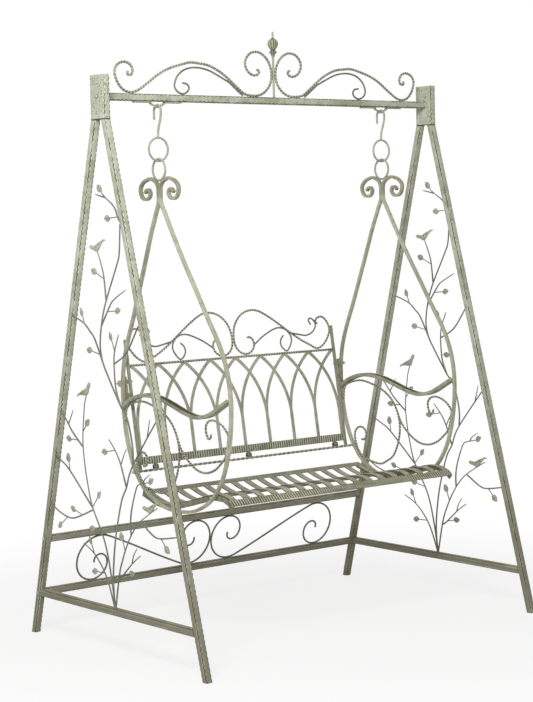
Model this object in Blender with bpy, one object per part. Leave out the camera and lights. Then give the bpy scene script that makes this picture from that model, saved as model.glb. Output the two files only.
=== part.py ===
# Two-seat garden swing bench in painted steel: an A-frame stand with scrollwork, and a seat hung from two hooks.
# Metres, +Z up. +X runs along the top beam, -Y is the front and the origin is on the ground under the middle.

import math

import bmesh
import bpy
from mathutils import Matrix, Vector
from mathutils.geometry import intersect_line_line_2d, intersect_point_line

# Fits and mesh fineness
GAP = 0.0003
OVERRUN = 0.02
ROD_SIDES = 6
TWIG_SIDES = 4
TURNED_SIDES = 10
RING_POINTS = 20
ROUND_STEP = math.radians(31)
BRIDGE_REACH_SHARE = 0.38
BRIDGE_STEPS = 5
ARCH_STEPS = 5

# Stand
FRAME_WIDTH = 1.49
FRAME_DEPTH = 1.04
FRAME_HEIGHT = 1.926
TUBE = 0.025
TUBE_WALL = 0.0015
FOOT_PLATE = 0.003
BLOCK_DEPTH = 0.084
BLOCK_HEIGHT = 0.145
BLOCK_WALL = 0.003
BEAM_TOP = 1.868
END_PLATE = 0.004
SIDE_RAIL_TOP = 0.161
REAR_UPPER_RAIL_TOP = 0.357
REAR_LOWER_RAIL_TOP = 0.160

# Stand bolts
BOLT_SHANK = 0.0035
BOLT_HEAD = 0.0075
BOLT_HEAD_HEIGHT = 0.0045
BOLT_REACH = 0.012

# Scrolls on the beam
CREST_ROD = 0.0045
CREST_THIN_ROD = 0.0032
CREST_INSET = 0.065
CREST_RISE = 0.157
FINIAL_STEM = 0.004
FINIAL_HEIGHT = 0.230
FINIAL_WIDTH = 0.020

# Scrolls between the rear rails
PANEL_ROD = 0.0035
PANEL_INSET = 0.147

# Branches in the side frames
BRANCH_ROD = 0.0029
TWIG_ROD = 0.0022
BRANCH_TAPER_SHARE = 0.25
LEAF_LENGTH = 0.031
LEAF_WIDTH = 0.021
LEAF_THICKNESS = 0.003
BIRD_LENGTH = 0.080
BIRD_THICKNESS = 0.014

# Hangers
HANGER_INSET = 0.241
PAD_LENGTH = 0.066
PAD_WIDTH = 0.020
PAD_THICKNESS = 0.004
PAD_SPREAD = 0.058
LOOP_ROD = 0.0036
LOOP_DROP = 0.0185
LOOP_BEND = 0.010
HOOK_ROD = 0.004
HOOK_BEND = 0.020
HOOK_TAIL = 0.028
HOOK_LENGTH = 0.109
RING_ROD = 0.0036
UPPER_RING = 0.039
LOWER_RING = 0.036

# Seat hoops
HOOP_WIDTH = 0.014
HOOP_THICKNESS = 0.010
HOOP_BOTTOM = 0.465
HOOP_HALF_DEPTH = 0.309
HOOP_MIDDLE = -0.0565
WAIST_LENGTH = 0.030
HORN_BEND = 0.036
HORN_LIFT = 0.0033
HORN_SPREAD = 0.110

# Seat
SEAT_SHEET = 0.0025
SEAT_REAR = 0.157
SEAT_FRONT = -0.355
SEAT_HIGH = 0.543
SEAT_LOW = 0.482
SLAT_COUNT = 17
SLAT_WIDTH = 0.030
SEAT_RAIL_THICKNESS = 0.005
SEAT_RAIL_HEIGHT = 0.018
SMALL_BOLT = 0.0025
SMALL_BOLT_HEAD = 0.0065
SMALL_BOLT_HEAD_HEIGHT = 0.005

# Armrests
ARM_WIDTH = 0.027
ARM_HEIGHT = 0.013
ARM_GROOVE = 0.005
ARM_LIP = 0.005
ARM_LOW = 0.793
ARM_RISE = 0.058
ARM_ROD = 0.004

# Backrest
BACK_BOLT_HEIGHT = 0.887
BACK_LEAN = math.radians(9.2)
POST_INSET = 0.029
POST_WIDTH = 0.010
POST_DEPTH = 0.008
POST_ABOVE_BOLT = 0.147
POST_BELOW_BOLT = 0.317
BRACKET_PLATE = 0.005
BRACKET_DEPTH = 0.018
BRACKET_ABOVE_BOLT = 0.018
BRACKET_BELOW_BOLT = 0.066
TOP_ROD_ABOVE_BOLT = 0.055
BAND_TOP_BELOW_BOLT = 0.268
BAND_HEIGHT = 0.027
BAND_THICKNESS = 0.006
BACK_ROD = 0.0045
STRIP_WIDTH = 0.012
STRIP_THICKNESS = 0.004
STRIP_LAYER = 0.001
BAY_COUNT = 8
ARCH_SPRING = 0.09
BACK_CREST_RISE = 0.173
BACK_CREST_ROD = 0.004
BACK_THIN_ROD = 0.003
LOW_ROD_HEIGHT = 0.577
KNUCKLE_INSET = 0.089
KNUCKLE_ROD = 0.0022
STUD_REACH = 0.008
NUT_WIDTH = 0.0065
NUT_HEIGHT = 0.011

# Paint colours: linear red, green and blue
SAGE = (0.36, 0.38, 0.28)
SAGE_PALE = (0.42, 0.44, 0.34)
SAGE_DARK = (0.22, 0.23, 0.17)
RUBBED_STEEL = (0.26, 0.23, 0.17)

# Shapes worked out from the sizes above
HALF_WIDTH = FRAME_WIDTH / 2
HALF_DEPTH = FRAME_DEPTH / 2
HANGER_X = HALF_WIDTH - HANGER_INSET
POST_X = HANGER_X - POST_INSET
KNUCKLE_X = HANGER_X - KNUCKLE_INSET
CREST_SPAN = HALF_WIDTH - CREST_INSET
PANEL_SPAN = HALF_WIDTH - PANEL_INSET
SIDE_X = HALF_WIDTH - TUBE / 2
TREE_X = HALF_WIDTH - BRANCH_ROD
LEG_TOP = FRAME_HEIGHT - BLOCK_HEIGHT - GAP
LEG_SLOPE = (HALF_DEPTH - BLOCK_DEPTH / 2) / LEG_TOP
LEG_ACROSS = TUBE * math.hypot(1, LEG_SLOPE)
BEAM_BOTTOM = BEAM_TOP - TUBE
BAR_HALF = HALF_WIDTH - TUBE - GAP
LOOP_Z = BEAM_BOTTOM - GAP - LOOP_DROP
HOOK_TOP_Z = LOOP_Z + LOOP_ROD + HOOK_ROD + GAP
UPPER_RING_Z = HOOK_TOP_Z - HOOK_LENGTH - UPPER_RING
SEAT_PIVOT_Z = UPPER_RING_Z - UPPER_RING
LOWER_RING_Z = SEAT_PIVOT_Z + 2 * RING_ROD + GAP - LOWER_RING
HALF_WAIST = (HOOP_THICKNESS + GAP) / 2
HORN_Y = HORN_BEND + HALF_WAIST
RING_TO_HORN = LOWER_RING + RING_ROD + GAP + HORN_BEND + HOOP_THICKNESS / 2
HORN_Z = LOWER_RING_Z - math.sqrt(RING_TO_HORN**2 - HORN_Y**2)
WAIST_Z = HORN_Z - WAIST_LENGTH
HOOP_INNER_X = HANGER_X - HOOP_WIDTH / 2
HOOP_OUTER_X = HANGER_X + HOOP_WIDTH / 2
POST_INNER_X = POST_X - POST_WIDTH / 2
POST_OUTER_X = POST_X + POST_WIDTH / 2

X_AXIS = Vector((1, 0, 0))
Y_AXIS = Vector((0, 1, 0))
UP_BACK = Vector((0, math.sin(BACK_LEAN), math.cos(BACK_LEAN)))
BEHIND_BACK = Vector((0, math.cos(BACK_LEAN), -math.sin(BACK_LEAN)))
BEHIND_REAR = Vector((0, 1, LEG_SLOPE)).normalized()
SIDES = (("left", -1), ("right", 1))
FRONT, REAR = -1, 1


def clear_scene():
    for item in list(bpy.data.objects):
        bpy.data.objects.remove(item, do_unlink=True)


def make_paint(name, colour, roughness, metallic):
    paint = bpy.data.materials.new(name)
    paint.use_nodes = True
    shader = paint.node_tree.nodes["Principled BSDF"]
    shader.inputs["Base Color"].default_value = (*colour, 1)
    shader.inputs["Roughness"].default_value = roughness
    shader.inputs["Metallic"].default_value = metallic
    return paint


def add_mesh(name, vertices, faces, material):
    mesh = bpy.data.meshes.new(name)
    mesh.from_pydata([tuple(v) for v in vertices], [], faces)
    shape = bmesh.new()
    shape.from_mesh(mesh)
    bmesh.ops.recalc_face_normals(shape, faces=shape.faces)
    shape.to_mesh(mesh)
    shape.free()
    mesh.materials.append(material)
    item = bpy.data.objects.new(name, mesh)
    bpy.context.scene.collection.objects.link(item)
    return item


def shade(item):
    item.data.shade_smooth()
    item.data.set_sharp_from_angle(angle=ROUND_STEP + ROUND_STEP / 2)
    return item


def apply_boolean(item, operation, others):
    """Joins the other objects to this one, or cuts them out of it, and removes them."""
    group = bpy.data.collections.new(item.name + "_others")
    bpy.context.scene.collection.children.link(group)
    for other in others:
        group.objects.link(other)
    step = item.modifiers.new(operation.lower(), "BOOLEAN")
    step.operation = operation
    step.solver = "EXACT"
    step.operand_type = "COLLECTION"
    step.collection = group
    depsgraph = bpy.context.evaluated_depsgraph_get()
    result = bpy.data.meshes.new_from_object(item.evaluated_get(depsgraph))
    item.modifiers.clear()
    item.data = result
    for other in others:
        bpy.data.objects.remove(other, do_unlink=True)
    bpy.data.collections.remove(group)
    return shade(item)


def join(name, pieces):
    whole = apply_boolean(pieces[0], "UNION", pieces[1:])
    whole.name = name
    return whole


def cut_away(item, cutters):
    return apply_boolean(item, "DIFFERENCE", cutters)


# Sections, given as points across the path's plane and along it. Rods have a corner on each side in their plane.


def round_section(radius, sides=ROD_SIDES):
    turns = [math.tau * (k / sides + 1 / 4) for k in range(sides)]
    return [(radius * math.cos(turn), radius * math.sin(turn)) for turn in turns]


def bar_section(across, along):
    a = across / 2
    b = along / 2
    return [(-a, -b), (a, -b), (a, b), (-a, b)]


# Flat paths


def arc(centre, radius, start, end):
    count = max(2, math.ceil(abs(end - start) / ROUND_STEP))
    angles = [start + (end - start) * k / count for k in range(count + 1)]
    return [Vector((centre[0] + radius * math.cos(a), centre[1] + radius * math.sin(a))) for a in angles]


def curl(centre, outer, eye, start, end):
    """A curl that winds in from its outer radius at the start angle to its eye at the end angle."""
    count = math.ceil(abs(end - start) / ROUND_STEP)
    points = []
    for k in range(count + 1):
        angle = start + (end - start) * k / count
        share = 1 - k / count
        radius = eye + (outer - eye) * share * share * (3 - 2 * share)
        points.append(Vector((centre[0] + radius * math.cos(angle), centre[1] + radius * math.sin(angle))))
    return points


def onward(last, middle, first=None):
    """The direction in which a curve through three places leaves the last of them."""
    if first is None:
        return (last - middle).normalized()
    return (3 * last - 4 * middle + first).normalized()


def bridge(before, after):
    """Points of a smooth run from the end of one stretch to the start of the next."""
    start = before[-1]
    end = after[0]
    reach = (end - start).length * BRIDGE_REACH_SHARE
    first = start + onward(*before[: -4 : -1]) * reach
    second = end + onward(*after[:3]) * reach
    run = []
    for k in range(1, BRIDGE_STEPS):
        t = k / BRIDGE_STEPS
        u = 1 - t
        run.append(start * u**3 + first * (3 * u * u * t) + second * (3 * u * t * t) + end * t**3)
    return run


def chain(*stretches):
    points = list(stretches[0])
    for stretch in stretches[1:]:
        points += bridge(points, stretch)
        points += stretch
    return points


def through(points, steps=2):
    """A smooth curve through these points."""
    spots = [Vector(p) for p in points]
    if len(spots) < 3:
        return spots
    ends = [2 * spots[0] - spots[1], *spots, 2 * spots[-1] - spots[-2]]
    curve = []
    for k in range(1, len(ends) - 2):
        a, b, c, d = ends[k - 1 : k + 3]
        for step in range(steps):
            t = step / steps
            bend = (2 * a - 5 * b + 4 * c - d) * t**2 + (3 * b - a - 3 * c + d) * t**3
            curve.append((2 * b + (c - a) * t + bend) / 2)
    curve.append(spots[-1])
    return curve


def beside(points, distance):
    """The same flat path moved sideways, to its left when the distance is positive."""
    moved = []
    for k, point in enumerate(points):
        along = (points[min(k + 1, len(points) - 1)] - points[max(k - 1, 0)]).normalized()
        moved.append(point + Vector((-along.y, along.x)) * distance)
    return moved


def shifted(points, x, z):
    return [p + Vector((x, z)) for p in points]


def set_down(points, level):
    """The path moved up or down until its lowest point is at this level."""
    return shifted(points, 0, level - min(p.y for p in points))


def mirrored(points, side):
    return [Vector((p.x * side, p.y)) for p in points]


def crossing(first, second):
    """The place where two flat paths cross."""
    for a, b in zip(first, first[1:]):
        for c, d in zip(second, second[1:]):
            spot = intersect_line_line_2d(a, b, c, d)
            if spot:
                return spot
    return None


def nearest_spot(point, lines):
    """The place on any of the paths that is nearest to the point."""
    spots = []
    for line in lines:
        for a, b in zip(line, line[1:]):
            share = intersect_point_line(point, a, b)[1]
            spots.append(a.lerp(b, min(max(share, 0), 1)))
    return min(spots, key=lambda spot: (spot - point).length)


# Planes that flat paths lie in


def in_front_plane(p):
    return Vector((p[0], 0, p[1]))


def in_side_plane(p):
    return Vector((0, p[0], p[1]))


def in_back_plane(p):
    return X_AXIS * p[0] + UP_BACK * p[1]


def in_rear_plane(p):
    """A place on the sloping middle plane of the rear legs, from its distance along X and its height."""
    return Vector((p[0], leg_outer_y(p[1]) - LEG_ACROSS / 2, p[1]))


def sweep(name, points, section, normal, material, closed=False, taper=None):
    """A bar of this section along a flat path of places; normal is the direction square to its plane."""
    count = len(points)
    size = len(section)
    vertices = []
    for k, point in enumerate(points):
        ahead = points[(k + 1) % count] if closed else points[min(k + 1, count - 1)]
        behind = points[k - 1] if closed else points[max(k - 1, 0)]
        side = normal.cross((ahead - behind).normalized())
        scale = taper[k] if taper else 1
        vertices += [point + (normal * across + side * along) * scale for across, along in section]
    faces = []
    for k in range(count if closed else count - 1):
        low = k * size
        high = (k + 1) % count * size
        faces += [(low + j, low + (j + 1) % size, high + (j + 1) % size, high + j) for j in range(size)]
    if not closed:
        faces.append(tuple(range(size)))
        faces.append(tuple(range((count - 1) * size, count * size)))
    return shade(add_mesh(name, vertices, faces, material))


def prism(name, outline, low, high, place, material):
    """A flat outline made solid between two levels; place(point, level) gives each corner."""
    count = len(outline)
    vertices = [place(p, low) for p in outline] + [place(p, high) for p in outline]
    faces = [tuple(range(count)), tuple(range(count, 2 * count))]
    faces += [(k, (k + 1) % count, count + (k + 1) % count, count + k) for k in range(count)]
    return add_mesh(name, vertices, faces, material)


def side_prism(name, outline, x_low, x_high, material):
    return prism(name, outline, x_low, x_high, lambda p, x: Vector((x, p[0], p[1])), material)


def box(name, low, high, material):
    outline = [(low[1], low[2]), (high[1], low[2]), (high[1], high[2]), (low[1], high[2])]
    return side_prism(name, outline, low[0], high[0], material)


def pin(name, x_low, x_high, spot, radius, material, sides=TURNED_SIDES):
    """A round bar along X at this flat spot of depth and height."""
    outline = [Vector(spot) + Vector(p) for p in round_section(radius, sides)]
    return shade(side_prism(name, outline, x_low, x_high, material))


def turned(name, profile, material, sides=TURNED_SIDES):
    """A shape turned about Z, from rows of radius and height; a radius of zero closes it."""
    vertices = []
    rings = []
    for radius, height in profile:
        around = 1 if radius == 0 else sides
        rings.append(list(range(len(vertices), len(vertices) + around)))
        for k in range(around):
            angle = math.tau * k / sides
            vertices.append(Vector((radius * math.cos(angle), radius * math.sin(angle), height)))
    faces = []
    for low, high in zip(rings, rings[1:]):
        for k in range(sides):
            n = k + 1
            corners = (low[k % len(low)], low[n % len(low)], high[n % len(high)], high[k % len(high)])
            faces.append(tuple(dict.fromkeys(corners)))
    faces += [tuple(ring) for ring in (rings[0], rings[-1]) if len(ring) > 1]
    return shade(add_mesh(name, vertices, faces, material))


def lay_along_x(item, x, side, spot):
    """Turns a shape made about Z so that it points outwards along X from this place."""
    turn = Matrix.Rotation(side * math.pi / 2, 4, "Y")
    item.data.transform(Matrix.Translation((x, spot[0], spot[1])) @ turn)
    return item


DOME_SHARES = ((1, 0), (1, 0.45), (0.75, 0.85), (0, 1))


def dome(radius, height, base):
    return [(radius * r, base + height * h) for r, h in DOME_SHARES]


# Stand


def leg_outer_y(z):
    return HALF_DEPTH - LEG_SLOPE * z


def leg_inner_y(z):
    return leg_outer_y(z) - LEG_ACROSS


def rear_rail_spot(top):
    """Centre of a rear rail and of its bolts, on the middle of the rear legs."""
    z = top - TUBE / 2
    return leg_outer_y(z) - LEG_ACROSS / 2, z


def leg_outline(z_low, z_high, wall, facing):
    corners = [(leg_outer_y(z) - wall, z) for z in (z_low, z_high)]
    corners += [(leg_inner_y(z) + wall, z) for z in (z_high, z_low)]
    return [(facing * y, z) for y, z in corners]


def make_leg(name, side, facing, material):
    x_low, x_high = sorted((side * HALF_WIDTH, side * (HALF_WIDTH - TUBE)))
    leg = side_prism(name, leg_outline(0, LEG_TOP, 0, facing), x_low, x_high, material)
    inside = leg_outline(FOOT_PLATE, LEG_TOP + OVERRUN, TUBE_WALL, facing)
    cutters = [side_prism("inside", inside, x_low + TUBE_WALL, x_high - TUBE_WALL, material)]
    if facing == REAR:
        for top in (REAR_UPPER_RAIL_TOP, REAR_LOWER_RAIL_TOP):
            spot = rear_rail_spot(top)
            cutters.append(pin("hole", x_low - OVERRUN, x_high + OVERRUN, spot, BOLT_SHANK + GAP, material))
    return cut_away(leg, cutters)


def make_bar(name, spot, material):
    """A square tube along X between the side frames, its plated ends bored for a bolt."""
    y, z = spot
    half = TUBE / 2
    inner = half - TUBE_WALL
    bar = box(name, (-BAR_HALF, y - half, z - half), (BAR_HALF, y + half, z + half), material)
    inner_half = BAR_HALF - END_PLATE
    inside = box("inside", (-inner_half, y - inner, z - inner), (inner_half, y + inner, z + inner), material)
    hole = pin("hole", -BAR_HALF - OVERRUN, BAR_HALF + OVERRUN, spot, BOLT_SHANK + GAP, material)
    return cut_away(bar, [inside, hole])


def make_bolt(name, side, spot, material):
    """A domed bolt through a side member into the plated end of a bar."""
    inner_end = HALF_WIDTH - TUBE - BOLT_REACH
    length = HALF_WIDTH + GAP - inner_end
    profile = [(BOLT_SHANK, 0), (BOLT_SHANK, length), *dome(BOLT_HEAD, BOLT_HEAD_HEIGHT, length)]
    return lay_along_x(turned(name, profile, material), side * inner_end, side, spot)


def make_block(name, side, material):
    x_low, x_high = sorted((side * HALF_WIDTH, side * (HALF_WIDTH - TUBE)))
    half = BLOCK_DEPTH / 2
    bottom = FRAME_HEIGHT - BLOCK_HEIGHT
    block = box(name, (x_low, -half, bottom), (x_high, half, FRAME_HEIGHT), material)
    wall = BLOCK_WALL
    low = (x_low + wall, wall - half, bottom + wall)
    inside = box("inside", low, (x_high - wall, half - wall, FRAME_HEIGHT - wall), material)
    spot = (0, BEAM_TOP - TUBE / 2)
    hole = pin("hole", x_low - OVERRUN, x_high + OVERRUN, spot, BOLT_SHANK + GAP, material)
    return cut_away(block, [inside, hole])


def side_rail_outline(wall, reach):
    """The side rail seen from the side, its ends cut to the slope of the legs."""
    heights = (SIDE_RAIL_TOP - TUBE + wall, SIDE_RAIL_TOP - wall)
    corners = [(leg_inner_y(z) - GAP + reach, z) for z in heights]
    return corners + [(-y, z) for y, z in reversed(corners)]


def make_side_rail(name, side, material):
    x_low, x_high = sorted((side * HALF_WIDTH, side * (HALF_WIDTH - TUBE)))
    rail = side_prism(name, side_rail_outline(0, 0), x_low, x_high, material)
    outline = side_rail_outline(TUBE_WALL, OVERRUN)
    return cut_away(rail, [side_prism("inside", outline, x_low + TUBE_WALL, x_high - TUBE_WALL, material)])


# One half of the crest in shares of CREST_SPAN along the beam and of CREST_RISE above it: the main scroll from the hook
# beside the finial to its arch, then from the arch to its outer hook, and the thin scroll where it leaves the main one
CREST_NEAR_SHARES = (
    (0.111, 0.608), (0.097, 0.586), (0.100, 0.513), (0.127, 0.478), (0.157, 0.522), (0.179, 0.627), (0.185, 0.752),
    (0.173, 0.876), (0.146, 0.971), (0.107, 1.000), (0.071, 0.949), (0.041, 0.841), (0.022, 0.701), (0.013, 0.522),
    (0.021, 0.328), (0.041, 0.194), (0.074, 0.083), (0.107, 0.037), (0.139, 0.031), (0.166, 0.037), (0.191, 0.062),
    (0.215, 0.121), (0.262, 0.274), (0.311, 0.431), (0.364, 0.562), (0.426, 0.662), (0.500, 0.701),
)
CREST_FAR_SHARES = (
    (0.571, 0.672), (0.653, 0.576), (0.723, 0.443), (0.794, 0.239), (0.831, 0.134), (0.857, 0.070), (0.882, 0.036),
    (0.905, 0.031), (0.928, 0.051), (0.952, 0.115), (0.975, 0.242), (0.989, 0.410), (0.986, 0.520), (0.968, 0.614),
    (0.935, 0.662), (0.904, 0.631), (0.886, 0.541), (0.885, 0.445), (0.900, 0.385), (0.914, 0.415), (0.912, 0.470),
)
INNER_TRACK_SHARES = (0.204, 0.295)
INNER_SHARES = (
    (0.319, 0.360), (0.343, 0.410), (0.382, 0.484), (0.410, 0.535), (0.453, 0.581), (0.500, 0.599), (0.544, 0.578),
    (0.582, 0.516), (0.616, 0.392), (0.632, 0.236), (0.631, 0.153), (0.615, 0.067), (0.584, 0.022), (0.556, 0.067),
    (0.544, 0.156), (0.557, 0.236), (0.585, 0.258),
)


def degrees(*angles):
    return [math.radians(a) for a in angles]


def crest_spots(rows):
    return [Vector((x * CREST_SPAN, BEAM_TOP + z * CREST_RISE)) for x, z in rows]


def crest_path():
    level = BEAM_TOP + GAP + CREST_ROD
    near = set_down(through(crest_spots(CREST_NEAR_SHARES), 1), level)
    near = shifted(near, FINIAL_STEM + GAP + CREST_ROD - min(p.x for p in near), 0)
    return chain(near, set_down(through(crest_spots(CREST_FAR_SHARES), 1), level))


def crest_inner_path(crest):
    """The thin rod: from the beam close under the main one, then over an arch of its own into a small curl."""
    level = BEAM_TOP + GAP + CREST_THIN_ROD
    low, high = [share * CREST_SPAN for share in INNER_TRACK_SHARES]
    under = beside(crest, -(CREST_ROD + CREST_THIN_ROD + 2 * GAP))
    track = [p for p in under if low + CREST_THIN_ROD < p.x < high and level < p.y < BEAM_TOP + CREST_RISE / 2]
    return chain([Vector((low, level)), *track], set_down(through(crest_spots(INNER_SHARES), 1), level))


# The finial in shares of its width and height
FINIAL_SHARES = (
    (0.20, 0.000), (0.20, 0.580), (0.27, 0.620), (0.38, 0.645), (0.52, 0.668), (0.69, 0.680), (0.71, 0.691),
    (0.66, 0.701), (0.41, 0.711), (0.50, 0.727), (0.70, 0.752), (0.88, 0.785), (0.95, 0.818), (0.86, 0.850),
    (0.62, 0.876), (0.30, 0.893), (0.20, 0.910), (0.17, 0.950), (0.16, 0.985), (0.00, 1.000),
)


def make_finial(material):
    base = BEAM_TOP + GAP
    stem, *bud = [(FINIAL_WIDTH * r, base + FINIAL_HEIGHT * h) for r, h in FINIAL_SHARES]
    profile = [(FINIAL_STEM, stem[1]), (FINIAL_STEM, bud[0][1]), *bud[1:]]
    return turned("finial", profile, material)


# The curls of the rear panel, before they are sized to touch both rails
PANEL_CURL_SHARES = {"outer": 1.0, "eye": 0.125}


def panel_path():
    """One scroll between the rear rails; each of its two curls touches both rails."""
    low = REAR_LOWER_RAIL_TOP + GAP + PANEL_ROD
    high = REAR_UPPER_RAIL_TOP - TUBE - GAP - PANEL_ROD
    unit = curl((0, 0), PANEL_CURL_SHARES["outer"], PANEL_CURL_SHARES["eye"], *degrees(292, -200))
    size = (high - low) / (max(p.y for p in unit) - min(p.y for p in unit))
    first = set_down([p * size for p in reversed(unit)], low)
    first = shifted(first, PANEL_ROD + GAP - min(p.x for p in first), 0)
    middle = Vector((PANEL_SPAN / 2, (low + high) / 2))
    last = [2 * middle - p for p in reversed(first)]
    return chain(first, last)


# The branches of one side frame, in shares of HALF_DEPTH along it and of LEG_TOP up it. A row that ends with the
# word front or rear meets that leg at the height given with it. Each row after the first starts on an earlier one.
BRANCH_SHARES = (
    ((-0.035, 0.087), (-0.021, 0.121), (-0.022, 0.159), (-0.049, 0.212), (-0.088, 0.255), (-0.142, 0.299),
     (-0.198, 0.324), (-0.229, 0.346), (-0.283, 0.369), (-0.422, 0.415), ("front", 0.451)),
    ((-0.269, 0.367), (-0.279, 0.395), (-0.257, 0.427), (-0.218, 0.456), (-0.152, 0.476), (-0.020, 0.529),
     (0.032, 0.554), (0.053, 0.584), (0.029, 0.624), (-0.025, 0.664), (-0.155, 0.730), (-0.191, 0.754),
     ("front", 0.808)),
    ((-0.035, 0.087), (0.028, 0.131), (0.071, 0.152), (0.131, 0.172), (0.208, 0.189), (0.316, 0.203)),
    ((-0.035, 0.087), (-0.000, 0.146), (0.065, 0.212), (0.199, 0.276), (0.243, 0.314), (0.275, 0.356),
     (0.289, 0.401), (0.265, 0.456), (0.250, 0.475), (0.230, 0.488)),
    ((0.192, 0.273), (0.455, 0.338), (0.566, 0.356), ("rear", 0.363)),
    ((-0.035, 0.087), (-0.090, 0.157), (-0.132, 0.187), (-0.178, 0.212), (-0.238, 0.237), (-0.308, 0.258),
     (-0.378, 0.272), (-0.530, 0.296)),
    ((-0.343, 0.265), (-0.468, 0.245), (-0.548, 0.241), ("front", 0.249)),
    ((-0.232, 0.236), (-0.232, 0.260), (-0.251, 0.287), (-0.308, 0.326), (-0.348, 0.334), (-0.446, 0.340)),
    ((-0.083, 0.150), (-0.127, 0.157), (-0.240, 0.184), (-0.333, 0.202)),
    ((0.013, 0.541), (0.111, 0.593), (0.166, 0.608), (0.222, 0.621), (0.286, 0.629), ("rear", 0.636)),
    ((-0.154, 0.474), (-0.124, 0.494), (-0.105, 0.514), (-0.098, 0.553), (-0.111, 0.576), (-0.158, 0.605)),
    ((-0.097, 0.550), (-0.241, 0.573), ("front", 0.623)),
    ((-0.027, 0.667), (-0.012, 0.709), (0.010, 0.730), (0.055, 0.759)),
    ((0.032, 0.619), (-0.078, 0.660), (-0.130, 0.671), (-0.246, 0.687)),
    ((0.203, 0.268), (0.397, 0.249), (0.500, 0.247), (0.616, 0.256), ("rear", 0.269)),
    ((0.287, 0.387), (0.403, 0.412), (0.453, 0.427), ("rear", 0.452)),
    ((-0.195, 0.324), (-0.139, 0.365), (-0.087, 0.388), (-0.013, 0.409)),
)
TWIG_SHARES = (
    ((0.453, 0.428), (0.393, 0.456)),
    ((-0.146, 0.364), (-0.170, 0.379), (-0.210, 0.396)),
    ((-0.437, 0.421), (-0.473, 0.455)),
    ((-0.233, 0.183), (-0.257, 0.200), (-0.296, 0.214)),
    ((-0.378, 0.338), (-0.407, 0.346), (-0.462, 0.355)),
)
# Each leaf: where its stem leaves a branch, and where its blade is centred
LEAF_SHARES = (
    ((0.076, 0.154), (0.193, 0.153)), ((0.186, 0.188), (0.232, 0.211)), ((0.092, 0.226), (0.207, 0.234)),
    ((0.192, 0.276), (0.116, 0.301)), ((0.455, 0.338), (0.468, 0.363)), ((0.321, 0.256), (0.429, 0.265)),
    ((0.500, 0.247), (0.593, 0.228)), ((0.351, 0.396), (0.455, 0.400)), ((0.280, 0.416), (0.228, 0.435)),
    ((-0.077, 0.389), (0.039, 0.384)), ((-0.164, 0.204), (-0.128, 0.230)), ((-0.558, 0.241), (-0.621, 0.223)),
    ((-0.141, 0.158), (-0.234, 0.165)), ((-0.446, 0.340), (-0.468, 0.343)), ((-0.105, 0.514), (-0.159, 0.515)),
    ((-0.109, 0.574), (-0.069, 0.601)), ((0.062, 0.565), (0.177, 0.573)), ((0.227, 0.622), (0.257, 0.644)),
    ((-0.001, 0.706), (0.100, 0.721)), ((-0.041, 0.646), (-0.157, 0.649)),
)
# Each bird: where its feet are, which way it looks, and how far it leans back
BIRD_SHARES = (((0.23, 0.488), FRONT, 0.8), ((-0.455, 0.285), REAR, 0.0), ((0.055, 0.759), REAR, 0.0))
TOP_BRANCH_SHARES = (
    (("front", 0.812), (-0.182, 0.822), (-0.165, 0.833), (-0.126, 0.844), (-0.057, 0.856), (-0.015, 0.865)),
    ((-0.054, 0.856), (0.059, 0.863)),
)
TOP_LEAF_SHARES = (
    ((-0.015, 0.865), (0.011, 0.874)), ((-0.176, 0.819), (-0.069, 0.818)),
)

# A leaf in shares of its length and width, and a bird in shares of its length, both seen from the side
LEAF_OUTLINE_SHARES = ((-0.5, 0.0), (-0.20, 0.46), (0.20, 0.42), (0.5, 0.0), (0.20, -0.42), (-0.20, -0.46))
BIRD_OUTLINE_SHARES = (
    (0.55, 0.10), (0.54, 0.21), (0.42, 0.24), (0.28, 0.20), (0.10, 0.24), (-0.12, 0.35), (-0.44, 0.47),
    (-0.60, 0.44), (-0.52, 0.37), (-0.31, 0.26), (-0.15, 0.10), (-0.04, -0.03), (0.10, -0.05), (0.25, 0.02),
    (0.45, 0.05),
)


def tree_spot(shares):
    """A place in a side frame; one that meets a leg lies on the leg's middle line."""
    across, up = shares
    z = up * LEG_TOP
    if across == "front":
        return Vector((LEG_ACROSS / 2 - leg_outer_y(z), z))
    if across == "rear":
        return Vector((leg_outer_y(z) - LEG_ACROSS / 2, z))
    return Vector((across * HALF_DEPTH, z))


def make_branch(points, radius, sides, x, material):
    path = [in_side_plane(p) + X_AXIS * x for p in points]
    taper = [1 - BRANCH_TAPER_SHARE * k / (len(path) - 1) for k in range(len(path))]
    return sweep("branch", path, round_section(radius, sides), X_AXIS, material, taper=taper)


def make_leaf(stem, centre, x, material):
    along = (centre - stem).normalized()
    across = Vector((-along.y, along.x))
    outline = [centre + along * (a * LEAF_LENGTH) + across * (b * LEAF_WIDTH) for a, b in LEAF_OUTLINE_SHARES]
    return side_prism("leaf", outline, x - LEAF_THICKNESS / 2, x + LEAF_THICKNESS / 2, material)


def make_bird(feet, look, lean, x, material):
    turn = Matrix.Rotation(lean, 2)
    outline = []
    for spot in BIRD_OUTLINE_SHARES:
        ahead, up = turn @ Vector(spot)
        outline.append(feet + Vector((look * ahead, up)) * BIRD_LENGTH)
    return side_prism("bird", outline, x - BIRD_THICKNESS / 2, x + BIRD_THICKNESS / 2, material)


def room_for_side_frame(x, material):
    """Solids that take away whatever would reach into the legs or the side rail."""
    slope = [(leg_inner_y(z) - GAP, z) for z in (0, LEG_TOP)]
    outline = slope + [(y + LEG_ACROSS, z) for y, z in reversed(slope)]
    rooms = [side_prism("room", [(facing * y, z) for y, z in outline], x - TUBE, x + TUBE, material)
             for facing in (FRONT, REAR)]
    level = SIDE_RAIL_TOP + GAP
    rooms.append(box("room", (x - TUBE, -HALF_DEPTH, level - TUBE), (x + TUBE, HALF_DEPTH, level), material))
    return rooms


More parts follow.
